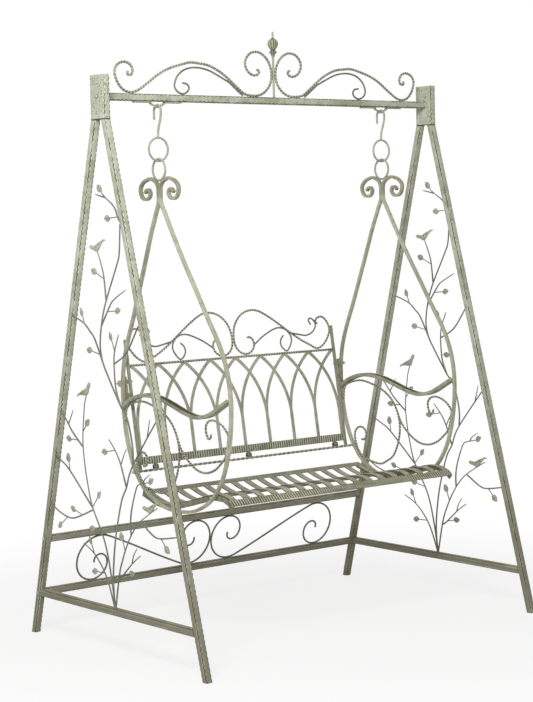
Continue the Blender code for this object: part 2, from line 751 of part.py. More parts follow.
def make_tree(name, side, branches, twigs, leaves, birds, material):
    """Branches, twigs, leaves and birds joined into one, ending at the legs and the side rail."""
    x = side * TREE_X
    lines = []
    pieces = []
    for rows, radius, sides in ((branches, BRANCH_ROD, ROD_SIDES), (twigs, TWIG_ROD, TWIG_SIDES)):
        for row in rows:
            points = [tree_spot(shares) for shares in row]
            if lines:
                points[0] = nearest_spot(points[0], lines)
            lines.append(points)
            pieces.append(make_branch(points, radius, sides, x, material))
    for stem, blade in leaves:
        foot = nearest_spot(tree_spot(stem), lines)
        centre = tree_spot(blade)
        pieces.append(make_branch([foot, centre], TWIG_ROD, TWIG_SIDES, x, material))
        pieces.append(make_leaf(foot, centre, x, material))
    pieces += [make_bird(tree_spot(feet), look, lean, x, material) for feet, look, lean in birds]
    return cut_away(join(name, pieces), room_for_side_frame(x, material))


# Hangers


def make_hanger_bracket(name, side, material):
    """Two pads under the beam with a round loop bent down between them."""
    x = side * HANGER_X
    top = BEAM_BOTTOM - GAP
    pads = []
    for end in (-1, 1):
        near = x + end * PAD_SPREAD / 2
        x_low, x_high = sorted((near, near + end * PAD_LENGTH))
        low = (x_low, -PAD_WIDTH / 2, top - PAD_THICKNESS)
        pads.append(box("pad", low, (x_high, PAD_WIDTH / 2, top), material))
    bend = arc((0, LOOP_Z + LOOP_BEND), LOOP_BEND, *degrees(240, 300))
    half = PAD_SPREAD / 2 + LOOP_ROD
    ends = [Vector((reach, top - PAD_THICKNESS / 2)) for reach in (-half, half)]
    path = [in_front_plane(p) + X_AXIS * x for p in (ends[0], *bend, ends[1])]
    loop = sweep(name, path, round_section(LOOP_ROD), Y_AXIS, material)
    bracket = join(name, [loop, *pads])
    low = (x - PAD_SPREAD, -PAD_WIDTH, top)
    return cut_away(bracket, [box("room", low, (x + PAD_SPREAD, PAD_WIDTH, top + TUBE), material)])


def ring_points(radius, centre_z):
    turns = [math.tau * k / RING_POINTS for k in range(RING_POINTS)]
    return [Vector((radius * math.cos(turn), centre_z + radius * math.sin(turn))) for turn in turns]


def make_hook(name, side, material):
    """An open hook that hangs on the loop, with the ring at its foot that the seat's ring is linked through."""
    x = side * HANGER_X
    centre_z = HOOK_TOP_Z - HOOK_BEND
    bend = arc((0, centre_z), HOOK_BEND, *degrees(0, 180))
    tail = Vector((HOOK_BEND, centre_z - HOOK_TAIL))
    foot_z = UPPER_RING_Z + UPPER_RING
    foot = [Vector((0, foot_z + RING_ROD + HOOK_ROD)), Vector((0, foot_z))]
    path = [in_side_plane(p) + X_AXIS * x for p in chain([tail, *bend], foot)]
    shank = sweep(name, path, round_section(HOOK_ROD), X_AXIS, material)
    path = [in_front_plane(p) + X_AXIS * x for p in ring_points(UPPER_RING, UPPER_RING_Z)]
    ring = sweep("ring", path, round_section(RING_ROD), Y_AXIS, material, closed=True)
    return join(name, [shank, ring])


def make_lower_ring(name, side, material):
    path = [in_side_plane(p) + X_AXIS * side * HANGER_X for p in ring_points(LOWER_RING, LOWER_RING_Z)]
    return sweep(name, path, round_section(RING_ROD), X_AXIS, material, closed=True)


# One side of a seat hoop from its bottom up to the waist: shares of its half depth out from its middle line, of its
# height up, and of HOOP_MIDDLE for the middle line itself
HOOP_SHARES = (
    (0.0, 0.0, 1.0), (0.30, 0.010, 1.0), (0.55, 0.041, 1.0), (0.72, 0.083, 1.0), (0.86, 0.147, 1.0),
    (0.96, 0.240, 1.0), (1.0, 0.353, 1.0), (0.965, 0.451, 0.96), (0.86, 0.535, 0.90), (0.70, 0.618, 0.73),
    (0.537, 0.706, 0.53), (0.370, 0.795, 0.32), (0.205, 0.888, 0.12), (0.075, 0.960, 0.04),
)
# A horn from its top to the end of its curl, in shares of HORN_SPREAD: out from the middle, and up from the top
HORN_SHARES = (
    (0.555, 0.0), (0.80, -0.077), (0.96, -0.21), (1.0, -0.345), (0.95, -0.50), (0.85, -0.592), (0.70, -0.618),
    (0.55, -0.573), (0.478, -0.455), (0.51, -0.36), (0.59, -0.32), (0.69, -0.355), (0.745, -0.427),
)


def horn(facing):
    """From the waist up, over the lower ring's seat and into the curl at the top of the hoop."""
    contact = math.atan2(LOWER_RING_Z - HORN_Z, -HORN_Y)
    centre = Vector((HORN_Y, HORN_Z))
    over = arc(centre, HORN_BEND, math.pi, contact) + arc(centre, HORN_BEND, contact, math.radians(112))[1:]
    top = Vector((0, HORN_Z + HORN_BEND + HORN_LIFT))
    outer = [top + Vector(spot) * HORN_SPREAD for spot in HORN_SHARES]
    points = chain([Vector((HALF_WAIST, WAIST_Z)), *over], outer)
    return [Vector((facing * p.x, p.y)) for p in points]


def hoop_side(facing):
    height = WAIST_Z - HOOP_BOTTOM
    return [Vector((HOOP_MIDDLE * middle + facing * out * HOOP_HALF_DEPTH, HOOP_BOTTOM + up * height))
            for out, up, middle in HOOP_SHARES]


def hoop_path():
    lower = through(list(reversed(hoop_side(REAR))) + hoop_side(FRONT)[1:])
    return chain(list(reversed(horn(REAR))), lower, horn(FRONT))


def hoop_spot(facing, height):
    """Where the hoop's centre line is at this height, on one side."""
    reach = Vector((facing * 2 * HOOP_HALF_DEPTH, height))
    return crossing([Vector((HOOP_MIDDLE, height)), reach], through(hoop_side(facing)))


def past_hoop(facing, height):
    """A place just outside one side of the hoop at this height."""
    return hoop_spot(facing, height) + Vector((facing * (HOOP_THICKNESS + OVERRUN) / 2, 0))


def hoop_stretch(facing, low, high):
    """The part of the hoop's centre line on one side between two heights, from the bottom up."""
    between = [p for p in through(hoop_side(facing)) if low < p.y < high]
    return [hoop_spot(facing, low), *between, hoop_spot(facing, high)]


def make_hoop(name, side, holes, material):
    path = [in_side_plane(p) + X_AXIS * side * HANGER_X for p in hoop_path()]
    hoop = sweep(name, path, bar_section(HOOP_WIDTH, HOOP_THICKNESS), X_AXIS, material)
    x_low, x_high = sorted((side * (HOOP_INNER_X - OVERRUN), side * (HOOP_OUTER_X + OVERRUN)))
    return cut_away(hoop, [pin("hole", x_low, x_high, spot, SMALL_BOLT + GAP, material) for spot in holes])


def room_for_hoop(facing, low, high, x, material):
    """A solid that takes away whatever would reach into one side of a hoop between two heights."""
    depth = HOOP_THICKNESS + 2 * GAP + OVERRUN
    line = beside(hoop_stretch(facing, low, high), -facing * OVERRUN / 2)
    path = [in_side_plane(p) + X_AXIS * x for p in line]
    return sweep("room", path, bar_section(ARM_WIDTH + OVERRUN, depth), X_AXIS, material)


# Seat, with its upper face seen from the side: shares of the way forward from the rear edge, and of the rise from
# SEAT_LOW to SEAT_HIGH
SEAT_SHARES = (
    (0.0, 0.54), (0.05, 0.41), (0.15, 0.14), (0.26, 0.0), (0.38, 0.13), (0.54, 0.45), (0.68, 0.76), (0.80, 0.98),
    (0.90, 0.97), (0.96, 0.78), (1.0, 0.50),
)


def seat_profile():
    depth = SEAT_FRONT - SEAT_REAR
    rise = SEAT_HIGH - SEAT_LOW
    return [Vector((SEAT_REAR + a * depth, SEAT_LOW + b * rise)) for a, b in SEAT_SHARES]


def make_seat_panel(material):
    """A pressed sheet: long slats from a rear band to a front band, rising into a rolled front edge."""
    profile = seat_profile()
    half = HOOP_INNER_X - GAP
    pitch = (2 * half - SLAT_WIDTH) / (SLAT_COUNT - 1)
    columns = [edge for k in range(SLAT_COUNT) for edge in (k * pitch - half, k * pitch - half + SLAT_WIDTH)]
    width = len(columns)
    vertices = [(x, p.x, p.y) for p in profile for x in columns]
    last_row = len(profile) - 2
    faces = []
    for row in range(last_row + 1):
        step = 1 if row in (0, last_row) else 2
        for column in range(0, width - 1, step):
            corner = row * width + column
            faces.append((corner, corner + width, corner + width + 1, corner + 1))
    mesh = bpy.data.meshes.new("seat_panel")
    mesh.from_pydata(vertices, [], faces)
    mesh.materials.append(material)
    panel = bpy.data.objects.new("seat_panel", mesh)
    bpy.context.scene.collection.objects.link(panel)
    thicken = panel.modifiers.new("sheet", "SOLIDIFY")
    thicken.thickness = SEAT_SHEET
    thicken.use_even_offset = True
    return panel


def seat_rail_line():
    """Centre line of a seat side rail, just under the sheet."""
    return beside(seat_profile(), SEAT_SHEET + GAP + SEAT_RAIL_HEIGHT / 2)


def seat_bolt_spot():
    """Where the front side of a hoop crosses a seat rail."""
    return crossing(seat_rail_line(), through(hoop_side(FRONT)))


def make_seat_rail(name, side, material):
    x = side * (HOOP_INNER_X - GAP - SEAT_RAIL_THICKNESS / 2)
    path = [in_side_plane(p) + X_AXIS * x for p in seat_rail_line()]
    rail = sweep(name, path, bar_section(SEAT_RAIL_THICKNESS, SEAT_RAIL_HEIGHT), X_AXIS, material)
    return cut_away(rail, [pin("hole", x - OVERRUN, x + OVERRUN, seat_bolt_spot(), SMALL_BOLT + GAP, material)])


def make_seat_bolt(name, side, material):
    """A bolt from outside the hoop through the seat rail, with its nut inside."""
    inner = HOOP_INNER_X - 2 * GAP - SEAT_RAIL_THICKNESS
    length = HOOP_OUTER_X + GAP - inner
    nut = [(0, -SMALL_BOLT_HEAD_HEIGHT), (SMALL_BOLT_HEAD, -SMALL_BOLT_HEAD_HEIGHT), (SMALL_BOLT_HEAD, 0)]
    shank = [(SMALL_BOLT, 0), (SMALL_BOLT, length)]
    profile = nut + shank + dome(SMALL_BOLT_HEAD, SMALL_BOLT_HEAD_HEIGHT, length)
    return lay_along_x(turned(name, profile, material), side * inner, side, seat_bolt_spot())


# Armrest centre line: shares of the hoop's half depth out from its middle, and of ARM_RISE above ARM_LOW. Its ends
# are just past the hoop, at these shares of ARM_RISE.
ARM_SHARES = (
    (0.83, 0.60), (0.57, 0.96), (0.28, 0.88), (0.04, 0.56), (-0.19, 0.20), (-0.41, 0.0), (-0.63, 0.20), (-0.84, 0.74),
)
ARM_END_SHARES = ((REAR, -0.10), (FRONT, 1.32))


def arm_line():
    middle = [(HOOP_MIDDLE + a * HOOP_HALF_DEPTH, ARM_LOW + b * ARM_RISE) for a, b in ARM_SHARES]
    ends = [past_hoop(facing, ARM_LOW + share * ARM_RISE) for facing, share in ARM_END_SHARES]
    return through([ends[0], *middle, ends[1]])


def make_armrest(name, side, material):
    """A shallow channel, open at the top, between the front and rear sides of a hoop."""
    x = side * HANGER_X
    a = ARM_WIDTH / 2
    b = ARM_HEIGHT / 2
    lip = a - ARM_LIP
    floor = ARM_GROOVE - b
    section = [(-a, -b), (-lip, -b), (-lip, floor), (lip, floor), (lip, -b), (a, -b), (a, b), (-a, b)]
    path = [in_side_plane(p) + X_AXIS * x for p in arm_line()]
    arm = sweep(name, path, section, X_AXIS, material)
    low = ARM_LOW - 2 * ARM_RISE
    high = ARM_LOW + 3 * ARM_RISE
    return cut_away(arm, [room_for_hoop(facing, low, high, x, material) for facing in (FRONT, REAR)])


# The arm scrolls: shares of the hoop's half depth out from its middle, and of the way from HOOP_BOTTOM to ARM_LOW.
# Radii are shares of the hoop's half depth.
REAR_START_SHARE = 0.87
REAR_SCROLL_SHARES = (
    (0.93, 1.01), (0.82, 1.07), (0.63, 1.10), (0.445, 1.073), (0.222, 1.0), (0.053, 0.88), (-0.044, 0.70),
    (-0.044, 0.50), (0.06, 0.28), (0.24, 0.175),
)
REAR_TOUCH_SHARES = (0.144, 0.263)
REAR_CURL_SHARES = {"out": 0.626, "up": 0.455, "outer": 0.138, "eye": 0.040}
FRONT_CURL_SHARES = (
    (-0.640, 0.845), (-0.628, 0.805), (-0.588, 0.795), (-0.552, 0.850), (-0.549, 0.915), (-0.591, 0.965),
    (-0.665, 0.985), (-0.749, 0.975), (-0.846, 0.938), (-0.911, 0.885),
)
FRONT_TOUCH_SHARES = (0.690, 0.818)
FRONT_SCROLL_SHARES = ((-0.83, 0.58), (-0.70, 0.49), (-0.54, 0.443), (-0.37, 0.46), (-0.20, 0.55), (-0.08, 0.66))


def arm_scroll_spot(out, up):
    return Vector((HOOP_MIDDLE + out * HOOP_HALF_DEPTH, HOOP_BOTTOM + up * (ARM_LOW - HOOP_BOTTOM)))


def inside_hoop(facing, shares):
    """A stretch of scroll that lies against the inner face of the hoop, from the bottom up."""
    low, high = [HOOP_BOTTOM + share * (ARM_LOW - HOOP_BOTTOM) for share in shares]
    return beside(hoop_stretch(facing, low, high), facing * (HOOP_THICKNESS / 2 + GAP + ARM_ROD))


def rear_scroll_line():
    start = past_hoop(REAR, arm_scroll_spot(1, REAR_START_SHARE).y)
    upper = through([start] + [arm_scroll_spot(out, up) for out, up in REAR_SCROLL_SHARES])
    touch = inside_hoop(REAR, REAR_TOUCH_SHARES)
    shares = REAR_CURL_SHARES
    outer = shares["outer"] * HOOP_HALF_DEPTH
    eye = shares["eye"] * HOOP_HALF_DEPTH
    last = curl(arm_scroll_spot(shares["out"], shares["up"]), outer, eye, *degrees(-15, 290))
    return chain(upper, touch, last)


def front_scroll_line(rear_line):
    """From its curl under the armrest down against the hoop, and back up into the rear scroll."""
    first = through([arm_scroll_spot(out, up) for out, up in FRONT_CURL_SHARES])
    touch = inside_hoop(FRONT, FRONT_TOUCH_SHARES)
    spots = [arm_scroll_spot(out, up) for out, up in FRONT_SCROLL_SHARES]
    end = nearest_spot(spots[-1] + (spots[-1] - spots[-2]), [rear_line])
    return chain(first, list(reversed(touch)), through([*spots, end]))


def make_arm_scroll(name, side, material):
    x = side * HANGER_X
    rear = rear_scroll_line()
    pieces = []
    for line in (rear, front_scroll_line(rear)):
        path = [in_side_plane(p) + X_AXIS * x for p in line]
        pieces.append(sweep(name, path, round_section(ARM_ROD), X_AXIS, material))
    scroll = join(name, pieces)
    low = ARM_LOW - ARM_RISE
    high = ARM_LOW + 3 * ARM_RISE
    path = [in_side_plane(p) + X_AXIS * x for p in arm_line()]
    room = sweep("room", path, bar_section(ARM_WIDTH, ARM_HEIGHT + 2 * GAP), X_AXIS, material)
    return cut_away(scroll, [room] + [room_for_hoop(facing, low, high, x, material) for facing in (FRONT, REAR)])


# Backrest: places are given along X and up the leaning back from the bolts that hold its posts


def back_origin():
    y, z = hoop_spot(REAR, BACK_BOLT_HEIGHT)
    return Vector((0, y, z))


def back_prism(name, outline, thickness, layer, material):
    origin = back_origin() + BEHIND_BACK * layer
    half = thickness / 2
    return prism(name, outline, -half, half, lambda p, d: origin + in_back_plane(p) + BEHIND_BACK * d, material)


def back_sweep(name, points, section, layer, material):
    origin = back_origin() + BEHIND_BACK * layer
    return sweep(name, [origin + in_back_plane(p) for p in points], section, BEHIND_BACK, material)


def rectangle(low, high):
    return [(low[0], low[1]), (high[0], low[1]), (high[0], high[1]), (low[0], high[1])]


def make_post(name, side, material):
    x_low, x_high = sorted((side * POST_INNER_X, side * POST_OUTER_X))
    outline = rectangle((x_low, -POST_BELOW_BOLT), (x_high, POST_ABOVE_BOLT))
    post = back_prism(name, outline, POST_DEPTH, 0, material)
    spot = hoop_spot(REAR, BACK_BOLT_HEIGHT)
    return cut_away(post, [pin("hole", x_low - OVERRUN, x_high + OVERRUN, spot, SMALL_BOLT + GAP, material)])


def make_back_bracket(name, side, material):
    """A plate against the inside of a hoop, with two spacers that carry the post."""
    plate_out = HOOP_INNER_X - GAP
    plate_in = plate_out - BRACKET_PLATE
    x_low, x_high = sorted((side * plate_in, side * plate_out))
    outline = rectangle((x_low, -BRACKET_BELOW_BOLT), (x_high, BRACKET_ABOVE_BOLT))
    pieces = [back_prism(name, outline, BRACKET_DEPTH, 0, material)]
    x_low, x_high = sorted((side * (POST_OUTER_X + GAP), side * (plate_in + BRACKET_PLATE / 2)))
    half = BRACKET_DEPTH * 2 / 5
    for level in (0, BRACKET_DEPTH - BRACKET_BELOW_BOLT):
        outline = rectangle((x_low, level - half), (x_high, level + half))
        pieces.append(back_prism("spacer", outline, POST_DEPTH, 0, material))
    bracket = join(name, pieces)
    spot = hoop_spot(REAR, BACK_BOLT_HEIGHT)
    return cut_away(bracket, [pin("hole", x_low - OVERRUN, x_high + OVERRUN, spot, SMALL_BOLT + GAP, material)])


def make_back_bolt(name, side, material):
    """A domed bolt through the hoop, its bracket and the post, its end standing out inside."""
    inner = POST_INNER_X - STUD_REACH
    length = HOOP_OUTER_X + GAP - inner
    profile = [(0, 0), (SMALL_BOLT, 0), (SMALL_BOLT, length), *dome(SMALL_BOLT_HEAD, NUT_HEIGHT, length)]
    bolt = turned(name, profile, material)
    return lay_along_x(bolt, side * inner, side, hoop_spot(REAR, BACK_BOLT_HEIGHT))


def make_top_rod(material):
    half = POST_INNER_X - GAP
    points = [Vector((x, TOP_ROD_ABOVE_BOLT)) for x in (-half, half)]
    return back_sweep("back_top_rod", points, round_section(BACK_ROD), 0, material)


def make_band(material):
    half = POST_INNER_X - GAP
    outline = rectangle((-half, -BAND_TOP_BELOW_BOLT - BAND_HEIGHT), (half, -BAND_TOP_BELOW_BOLT))
    return back_prism("back_band", outline, BAND_THICKNESS, 0, material)


def arch_line(foot, level, pitch):
    """A strip that stands on the band and leans over by one pitch to its apex under the top rod."""
    spring = ARCH_SPRING - BAND_TOP_BELOW_BOLT
    rise = TOP_ROD_ABOVE_BOLT - spring
    turn = 2 * math.atan2(abs(pitch), rise)
    bend = rise / math.sin(turn)
    side = math.copysign(1, pitch)
    points = [Vector((foot, level - BAND_TOP_BELOW_BOLT))]
    for k in range(ARCH_STEPS + 1):
        angle = turn * k / ARCH_STEPS
        points.append(Vector((foot + side * bend * (1 - math.cos(angle)), spring + bend * math.sin(angle))))
    return points


def make_arches(material):
    """The lattice of arching strips: from each foot one leans left, and a slightly slimmer one leans right behind."""
    reach = POST_INNER_X - GAP - STRIP_WIDTH / 2
    pitch = 2 * reach / BAY_COUNT
    strips = []
    for k in range(BAY_COUNT + 1):
        for lean, slimmer in ((-1, 0), (1, GAP)):
            if 0 <= k + lean <= BAY_COUNT:
                line = arch_line(k * pitch - reach, GAP + slimmer, lean * pitch)
                section = bar_section(STRIP_THICKNESS, STRIP_WIDTH - 2 * slimmer)
                strips.append(back_sweep("strip", line, section, lean * STRIP_LAYER, material))
    arches = join("back_arches", strips)
    top = TOP_ROD_ABOVE_BOLT - BACK_ROD - GAP
    half = POST_INNER_X - GAP
    thickness = 2 * OVERRUN
    rooms = [back_prism("room", rectangle((-HANGER_X, top), (HANGER_X, top + OVERRUN)), thickness, 0, material)]
    for side in (-1, 1):
        x_low, x_high = sorted((side * half, side * (half + OVERRUN)))
        outline = rectangle((x_low, -POST_BELOW_BOLT), (x_high, POST_ABOVE_BOLT))
        rooms.append(back_prism("room", outline, thickness, 0, material))
    return cut_away(arches, rooms)


# The scrolls on one half of the backrest: shares of POST_INNER_X out from the middle. Heights above the top rod and
# radii are shares of BACK_CREST_RISE.
BACK_CURL_SHARES = {"outer": 0.36, "eye": 0.06}
BACK_ARCH_SHARES = {"height": 0.42, "bend": 0.56}
BACK_END_SHARES = (
    (0.763, 0.145), (0.838, 0.053), (0.919, 0.150), (0.983, 0.382), (0.981, 0.570), (0.940, 0.720), (0.889, 0.737),
    (0.853, 0.665), (0.868, 0.587),
)
BACK_MIDDLE_SHARES = (
    (0.200, 0.225), (0.304, 0.405), (0.435, 0.549), (0.522, 0.526), (0.576, 0.387), (0.580, 0.231), (0.525, 0.045),
    (0.473, 0.162), (0.475, 0.295), (0.507, 0.387),
)
BACK_SMALL_SHARES = (
    (0.591, 0.453), (0.676, 0.376), (0.749, 0.353), (0.819, 0.431), (0.851, 0.561), (0.834, 0.671), (0.805, 0.720),
    (0.783, 0.676), (0.803, 0.572),
)


def back_spots(rows):
    return [Vector((x * POST_INNER_X, TOP_ROD_ABOVE_BOLT + height * BACK_CREST_RISE)) for x, height in rows]


def back_crest_lines():
    """The tall scroll of one half, and the two small ones that grow from it."""
    rise = BACK_CREST_RISE
    rod_top = TOP_ROD_ABOVE_BOLT + BACK_ROD + GAP
    level = rod_top + BACK_CREST_ROD
    thin_level = rod_top + BACK_THIN_ROD
    shares = BACK_CURL_SHARES
    first = set_down(curl((0, 0), shares["outer"] * rise, shares["eye"] * rise, *degrees(-180, 90)), level)
    first = shifted(first, BACK_CREST_ROD + GAP - min(p.x for p in first), 0)
    shares = BACK_ARCH_SHARES
    bend = shares["bend"] * rise
    centre = (bend + BACK_CREST_ROD + GAP, TOP_ROD_ABOVE_BOLT + shares["height"] * rise)
    arch = arc(centre, bend, *degrees(180, 62))
    last = set_down(through(back_spots(BACK_END_SHARES)), level)
    last = shifted(last, POST_INNER_X - GAP - BACK_CREST_ROD - max(p.x for p in last), 0)
    tall = chain(list(reversed(first)), arch, last)
    middle = back_spots(BACK_MIDDLE_SHARES)
    middle[0] = nearest_spot(middle[0], [tall])
    small = back_spots(BACK_SMALL_SHARES)
    small[0] = nearest_spot(small[0], [tall])
    return tall, set_down(through(middle), thin_level), through(small)


def make_back_crest(name, side, material):
    pieces = []
    for line, rod in zip(back_crest_lines(), (BACK_CREST_ROD, BACK_THIN_ROD, BACK_THIN_ROD)):
        pieces.append(back_sweep(name, mirrored(line, side), round_section(rod), 0, material))
    return join(name, pieces)


def knuckle_line():
    """A small loop between the low rod and the lower front edge of the band."""
    rod = hoop_spot(REAR, LOW_ROD_HEIGHT)
    edge = back_origin() + in_back_plane((0, -BAND_TOP_BELOW_BOLT - BAND_HEIGHT)) - BEHIND_BACK * BAND_THICKNESS / 2
    reach = Vector((edge.y, edge.z)) - rod
    outer = (reach.length - GAP) / 2
    start = math.atan2(reach.y, reach.x)
    return arc(rod + reach.normalized() * outer, outer - KNUCKLE_ROD, start, start + math.tau)[:-1]


def make_low_rod(material):
    """The rod under the band: studs on its ends pass through the hoops, and three loops reach the band."""
    spot = hoop_spot(REAR, LOW_ROD_HEIGHT)
    half = HOOP_INNER_X - GAP
    stud_half = HOOP_OUTER_X + STUD_REACH
    rod = pin("back_low_rod", -half, half, spot, BACK_ROD, material, ROD_SIDES)
    stud = pin("stud", -stud_half, stud_half, spot, SMALL_BOLT, material)
    pieces = [rod, stud]
    for x in (-KNUCKLE_X, 0, KNUCKLE_X):
        path = [in_side_plane(p) + X_AXIS * x for p in knuckle_line()]
        pieces.append(sweep("knuckle", path, round_section(KNUCKLE_ROD), X_AXIS, material, closed=True))
    return join("back_low_rod", pieces)


def make_back_nut(name, side, material):
    """A domed nut on the stud of the low rod, outside a hoop."""
    base = HOOP_OUTER_X + GAP
    nut = turned(name, [(0, 0), *dome(NUT_WIDTH, NUT_HEIGHT, 0)], material)
    lay_along_x(nut, side * base, side, hoop_spot(REAR, LOW_ROD_HEIGHT))
    x_low, x_high = sorted((side * (base - OVERRUN), side * (HOOP_OUTER_X + STUD_REACH + GAP)))
    return cut_away(nut, [pin("bore", x_low, x_high, hoop_spot(REAR, LOW_ROD_HEIGHT), SMALL_BOLT + GAP, material)])


def build_stand(sage, pale, dark, steel):
    crest = crest_path()
    inner_crest = crest_inner_path(crest)
    panel = panel_path()
    make_bar("top_beam", (0, BEAM_TOP - TUBE / 2), sage)
    make_bar("rear_upper_rail", rear_rail_spot(REAR_UPPER_RAIL_TOP), sage)
    make_bar("rear_lower_rail", rear_rail_spot(REAR_LOWER_RAIL_TOP), sage)
    make_finial(sage)
    for word, side in SIDES:
        make_leg(word + "_front_leg", side, FRONT, sage)
        make_leg(word + "_rear_leg", side, REAR, sage)
        make_block(word + "_top_block", side, pale)
        make_side_rail(word + "_side_rail", side, sage)
        make_tree(word + "_branches", side, BRANCH_SHARES, TWIG_SHARES, LEAF_SHARES, BIRD_SHARES, sage)
        make_tree(word + "_top_twig", side, TOP_BRANCH_SHARES, (), TOP_LEAF_SHARES, (), sage)
        path = [in_front_plane(p) for p in mirrored(crest, side)]
        sweep(word + "_crest_scroll", path, round_section(CREST_ROD), Y_AXIS, dark)
        path = [in_front_plane(p) for p in mirrored(inner_crest, side)]
        sweep(word + "_inner_crest_scroll", path, round_section(CREST_THIN_ROD), Y_AXIS, dark)
        path = [in_rear_plane(p) for p in mirrored(panel, side)]
        sweep(word + "_rear_scroll", path, round_section(PANEL_ROD), BEHIND_REAR, dark)
        make_hanger_bracket(word + "_hanger_bracket", side, pale)
        make_bolt(word + "_beam_bolt", side, (0, BEAM_TOP - TUBE / 2), steel)
        make_bolt(word + "_upper_rail_bolt", side, rear_rail_spot(REAR_UPPER_RAIL_TOP), steel)
        make_bolt(word + "_lower_rail_bolt", side, rear_rail_spot(REAR_LOWER_RAIL_TOP), steel)


def build_seat(sage, pale, dark, steel):
    holes = (seat_bolt_spot(), hoop_spot(REAR, LOW_ROD_HEIGHT), hoop_spot(REAR, BACK_BOLT_HEIGHT))
    make_seat_panel(pale)
    make_top_rod(dark)
    make_band(pale)
    make_arches(sage)
    make_low_rod(dark)
    for word, side in SIDES:
        make_lower_ring(word + "_lower_ring", side, sage)
        make_hoop(word + "_hoop", side, holes, sage)
        make_armrest(word + "_armrest", side, pale)
        make_arm_scroll(word + "_arm_scroll", side, dark)
        make_seat_rail(word + "_seat_rail", side, sage)
        make_seat_bolt(word + "_seat_bolt", side, steel)
        make_post(word + "_back_post", side, sage)
        make_back_bracket(word + "_back_bracket", side, sage)
        make_back_bolt(word + "_back_bolt", side, steel)
        make_back_crest(word + "_back_crest", side, dark)
        make_back_nut(word + "_back_nut", side, steel)


def give_pivot(name, pivot):
    """Puts an object's origin on the axis that it swings about, with its mesh where it was."""
    item = bpy.data.objects[name]
    item.data.transform(Matrix.Translation(-pivot))
    item.location = pivot
    return item


def build():
    clear_scene()
    sage = make_paint("sage_paint", SAGE, 0.55, 0.2)
    pale = make_paint("pale_sage_paint", SAGE_PALE, 0.55, 0.2)
    dark = make_paint("rubbed_sage_paint", SAGE_DARK, 0.5, 0.35)
    steel = make_paint("rubbed_steel", RUBBED_STEEL, 0.45, 0.7)
    build_stand(sage, pale, dark, steel)
    for word, side in SIDES:
        make_hook(word + "_hook", side, sage)
        give_pivot(word + "_hook", Vector((side * HANGER_X, 0, LOOP_Z)))
    build_seat(sage, pale, dark, steel)
    for word, side in SIDES:
        give_pivot(word + "_lower_ring", Vector((side * HANGER_X, 0, SEAT_PIVOT_Z)))


build()
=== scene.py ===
"""Looks for the metal swing bench: finer scrolls, bars, leaves and slats, and its sage paint, brown with
wear, with painted highlights and painted shade.

Metres, +Z up. Every piece is made in place, in the frame's own coordinates, and rides on a body of the frame.
"""
import math

import bmesh
import bpy
from mathutils import Matrix, Vector, noise
from mathutils.geometry import intersect_line_line_2d, intersect_point_line


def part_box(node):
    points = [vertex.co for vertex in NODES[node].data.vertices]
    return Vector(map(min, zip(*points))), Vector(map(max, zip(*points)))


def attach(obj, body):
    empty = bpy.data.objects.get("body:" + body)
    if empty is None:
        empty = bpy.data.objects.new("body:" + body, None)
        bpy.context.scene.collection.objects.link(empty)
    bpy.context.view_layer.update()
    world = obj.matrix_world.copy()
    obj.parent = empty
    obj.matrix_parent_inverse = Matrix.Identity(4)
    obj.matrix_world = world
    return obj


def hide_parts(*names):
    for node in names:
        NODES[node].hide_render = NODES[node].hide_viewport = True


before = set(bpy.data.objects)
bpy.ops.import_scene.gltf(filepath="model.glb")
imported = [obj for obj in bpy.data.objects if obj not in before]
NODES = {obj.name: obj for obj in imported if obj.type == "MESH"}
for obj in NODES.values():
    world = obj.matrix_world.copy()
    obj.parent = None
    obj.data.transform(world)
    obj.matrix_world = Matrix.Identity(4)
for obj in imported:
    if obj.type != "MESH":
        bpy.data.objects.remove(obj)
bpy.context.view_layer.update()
SIDES = (("left", -1), ("right", 1))
FRONT, REAR = -1, 1

# Clearance between pieces, and smoothness of what is made here
GAP = 0.0003
ROUND_STEP = math.radians(9)
BRIDGE_REACH_SHARE = 0.38
BRIDGE_STEPS = 14
CURVE_STEPS = 7
FINE_CURVE_STEPS = 8
ARM_CURVE_STEPS = 10
BRANCH_CURVE_STEPS = 6
BIRD_CURVE_STEPS = 3
RING_STEPS = 64

# Stand, as in the frame
FRAME_WIDTH = 1.49
FRAME_DEPTH = 1.04
FRAME_HEIGHT = 1.926
TUBE = 0.025
BLOCK_DEPTH = 0.084
BLOCK_HEIGHT = 0.145
BEAM_TOP = 1.868
SIDE_RAIL_TOP = 0.161
REAR_UPPER_RAIL_TOP = 0.357
REAR_LOWER_RAIL_TOP = 0.160
CREST_ROD = 0.0045
CREST_THIN_ROD = 0.0032
CREST_SPAN = 0.68
CREST_RISE = 0.157
FINIAL_STEM = 0.004
FINIAL_HEIGHT = 0.230
FINIAL_WIDTH = 0.020
PANEL_ROD = 0.0035
PANEL_SPAN = 0.598
BRANCH_ROD = 0.0029
TWIG_ROD = 0.0022
LEAF_LENGTH = 0.031
LEAF_WIDTH = 0.021
BIRD_LENGTH = 0.080
BIRD_THICKNESS = 0.014

# Hangers, as in the frame
HANGER_X = 0.504
PAD_LENGTH = 0.066
PAD_WIDTH = 0.020
PAD_THICKNESS = 0.004
PAD_SPREAD = 0.058
LOOP_ROD = 0.0036
LOOP_DROP = 0.0185
LOOP_BEND = 0.010
HOOK_ROD = 0.004
HOOK_BEND = 0.020
HOOK_TAIL = 0.028
HOOK_LENGTH = 0.109
RING_ROD = 0.0036
UPPER_RING = 0.039
LOWER_RING = 0.036

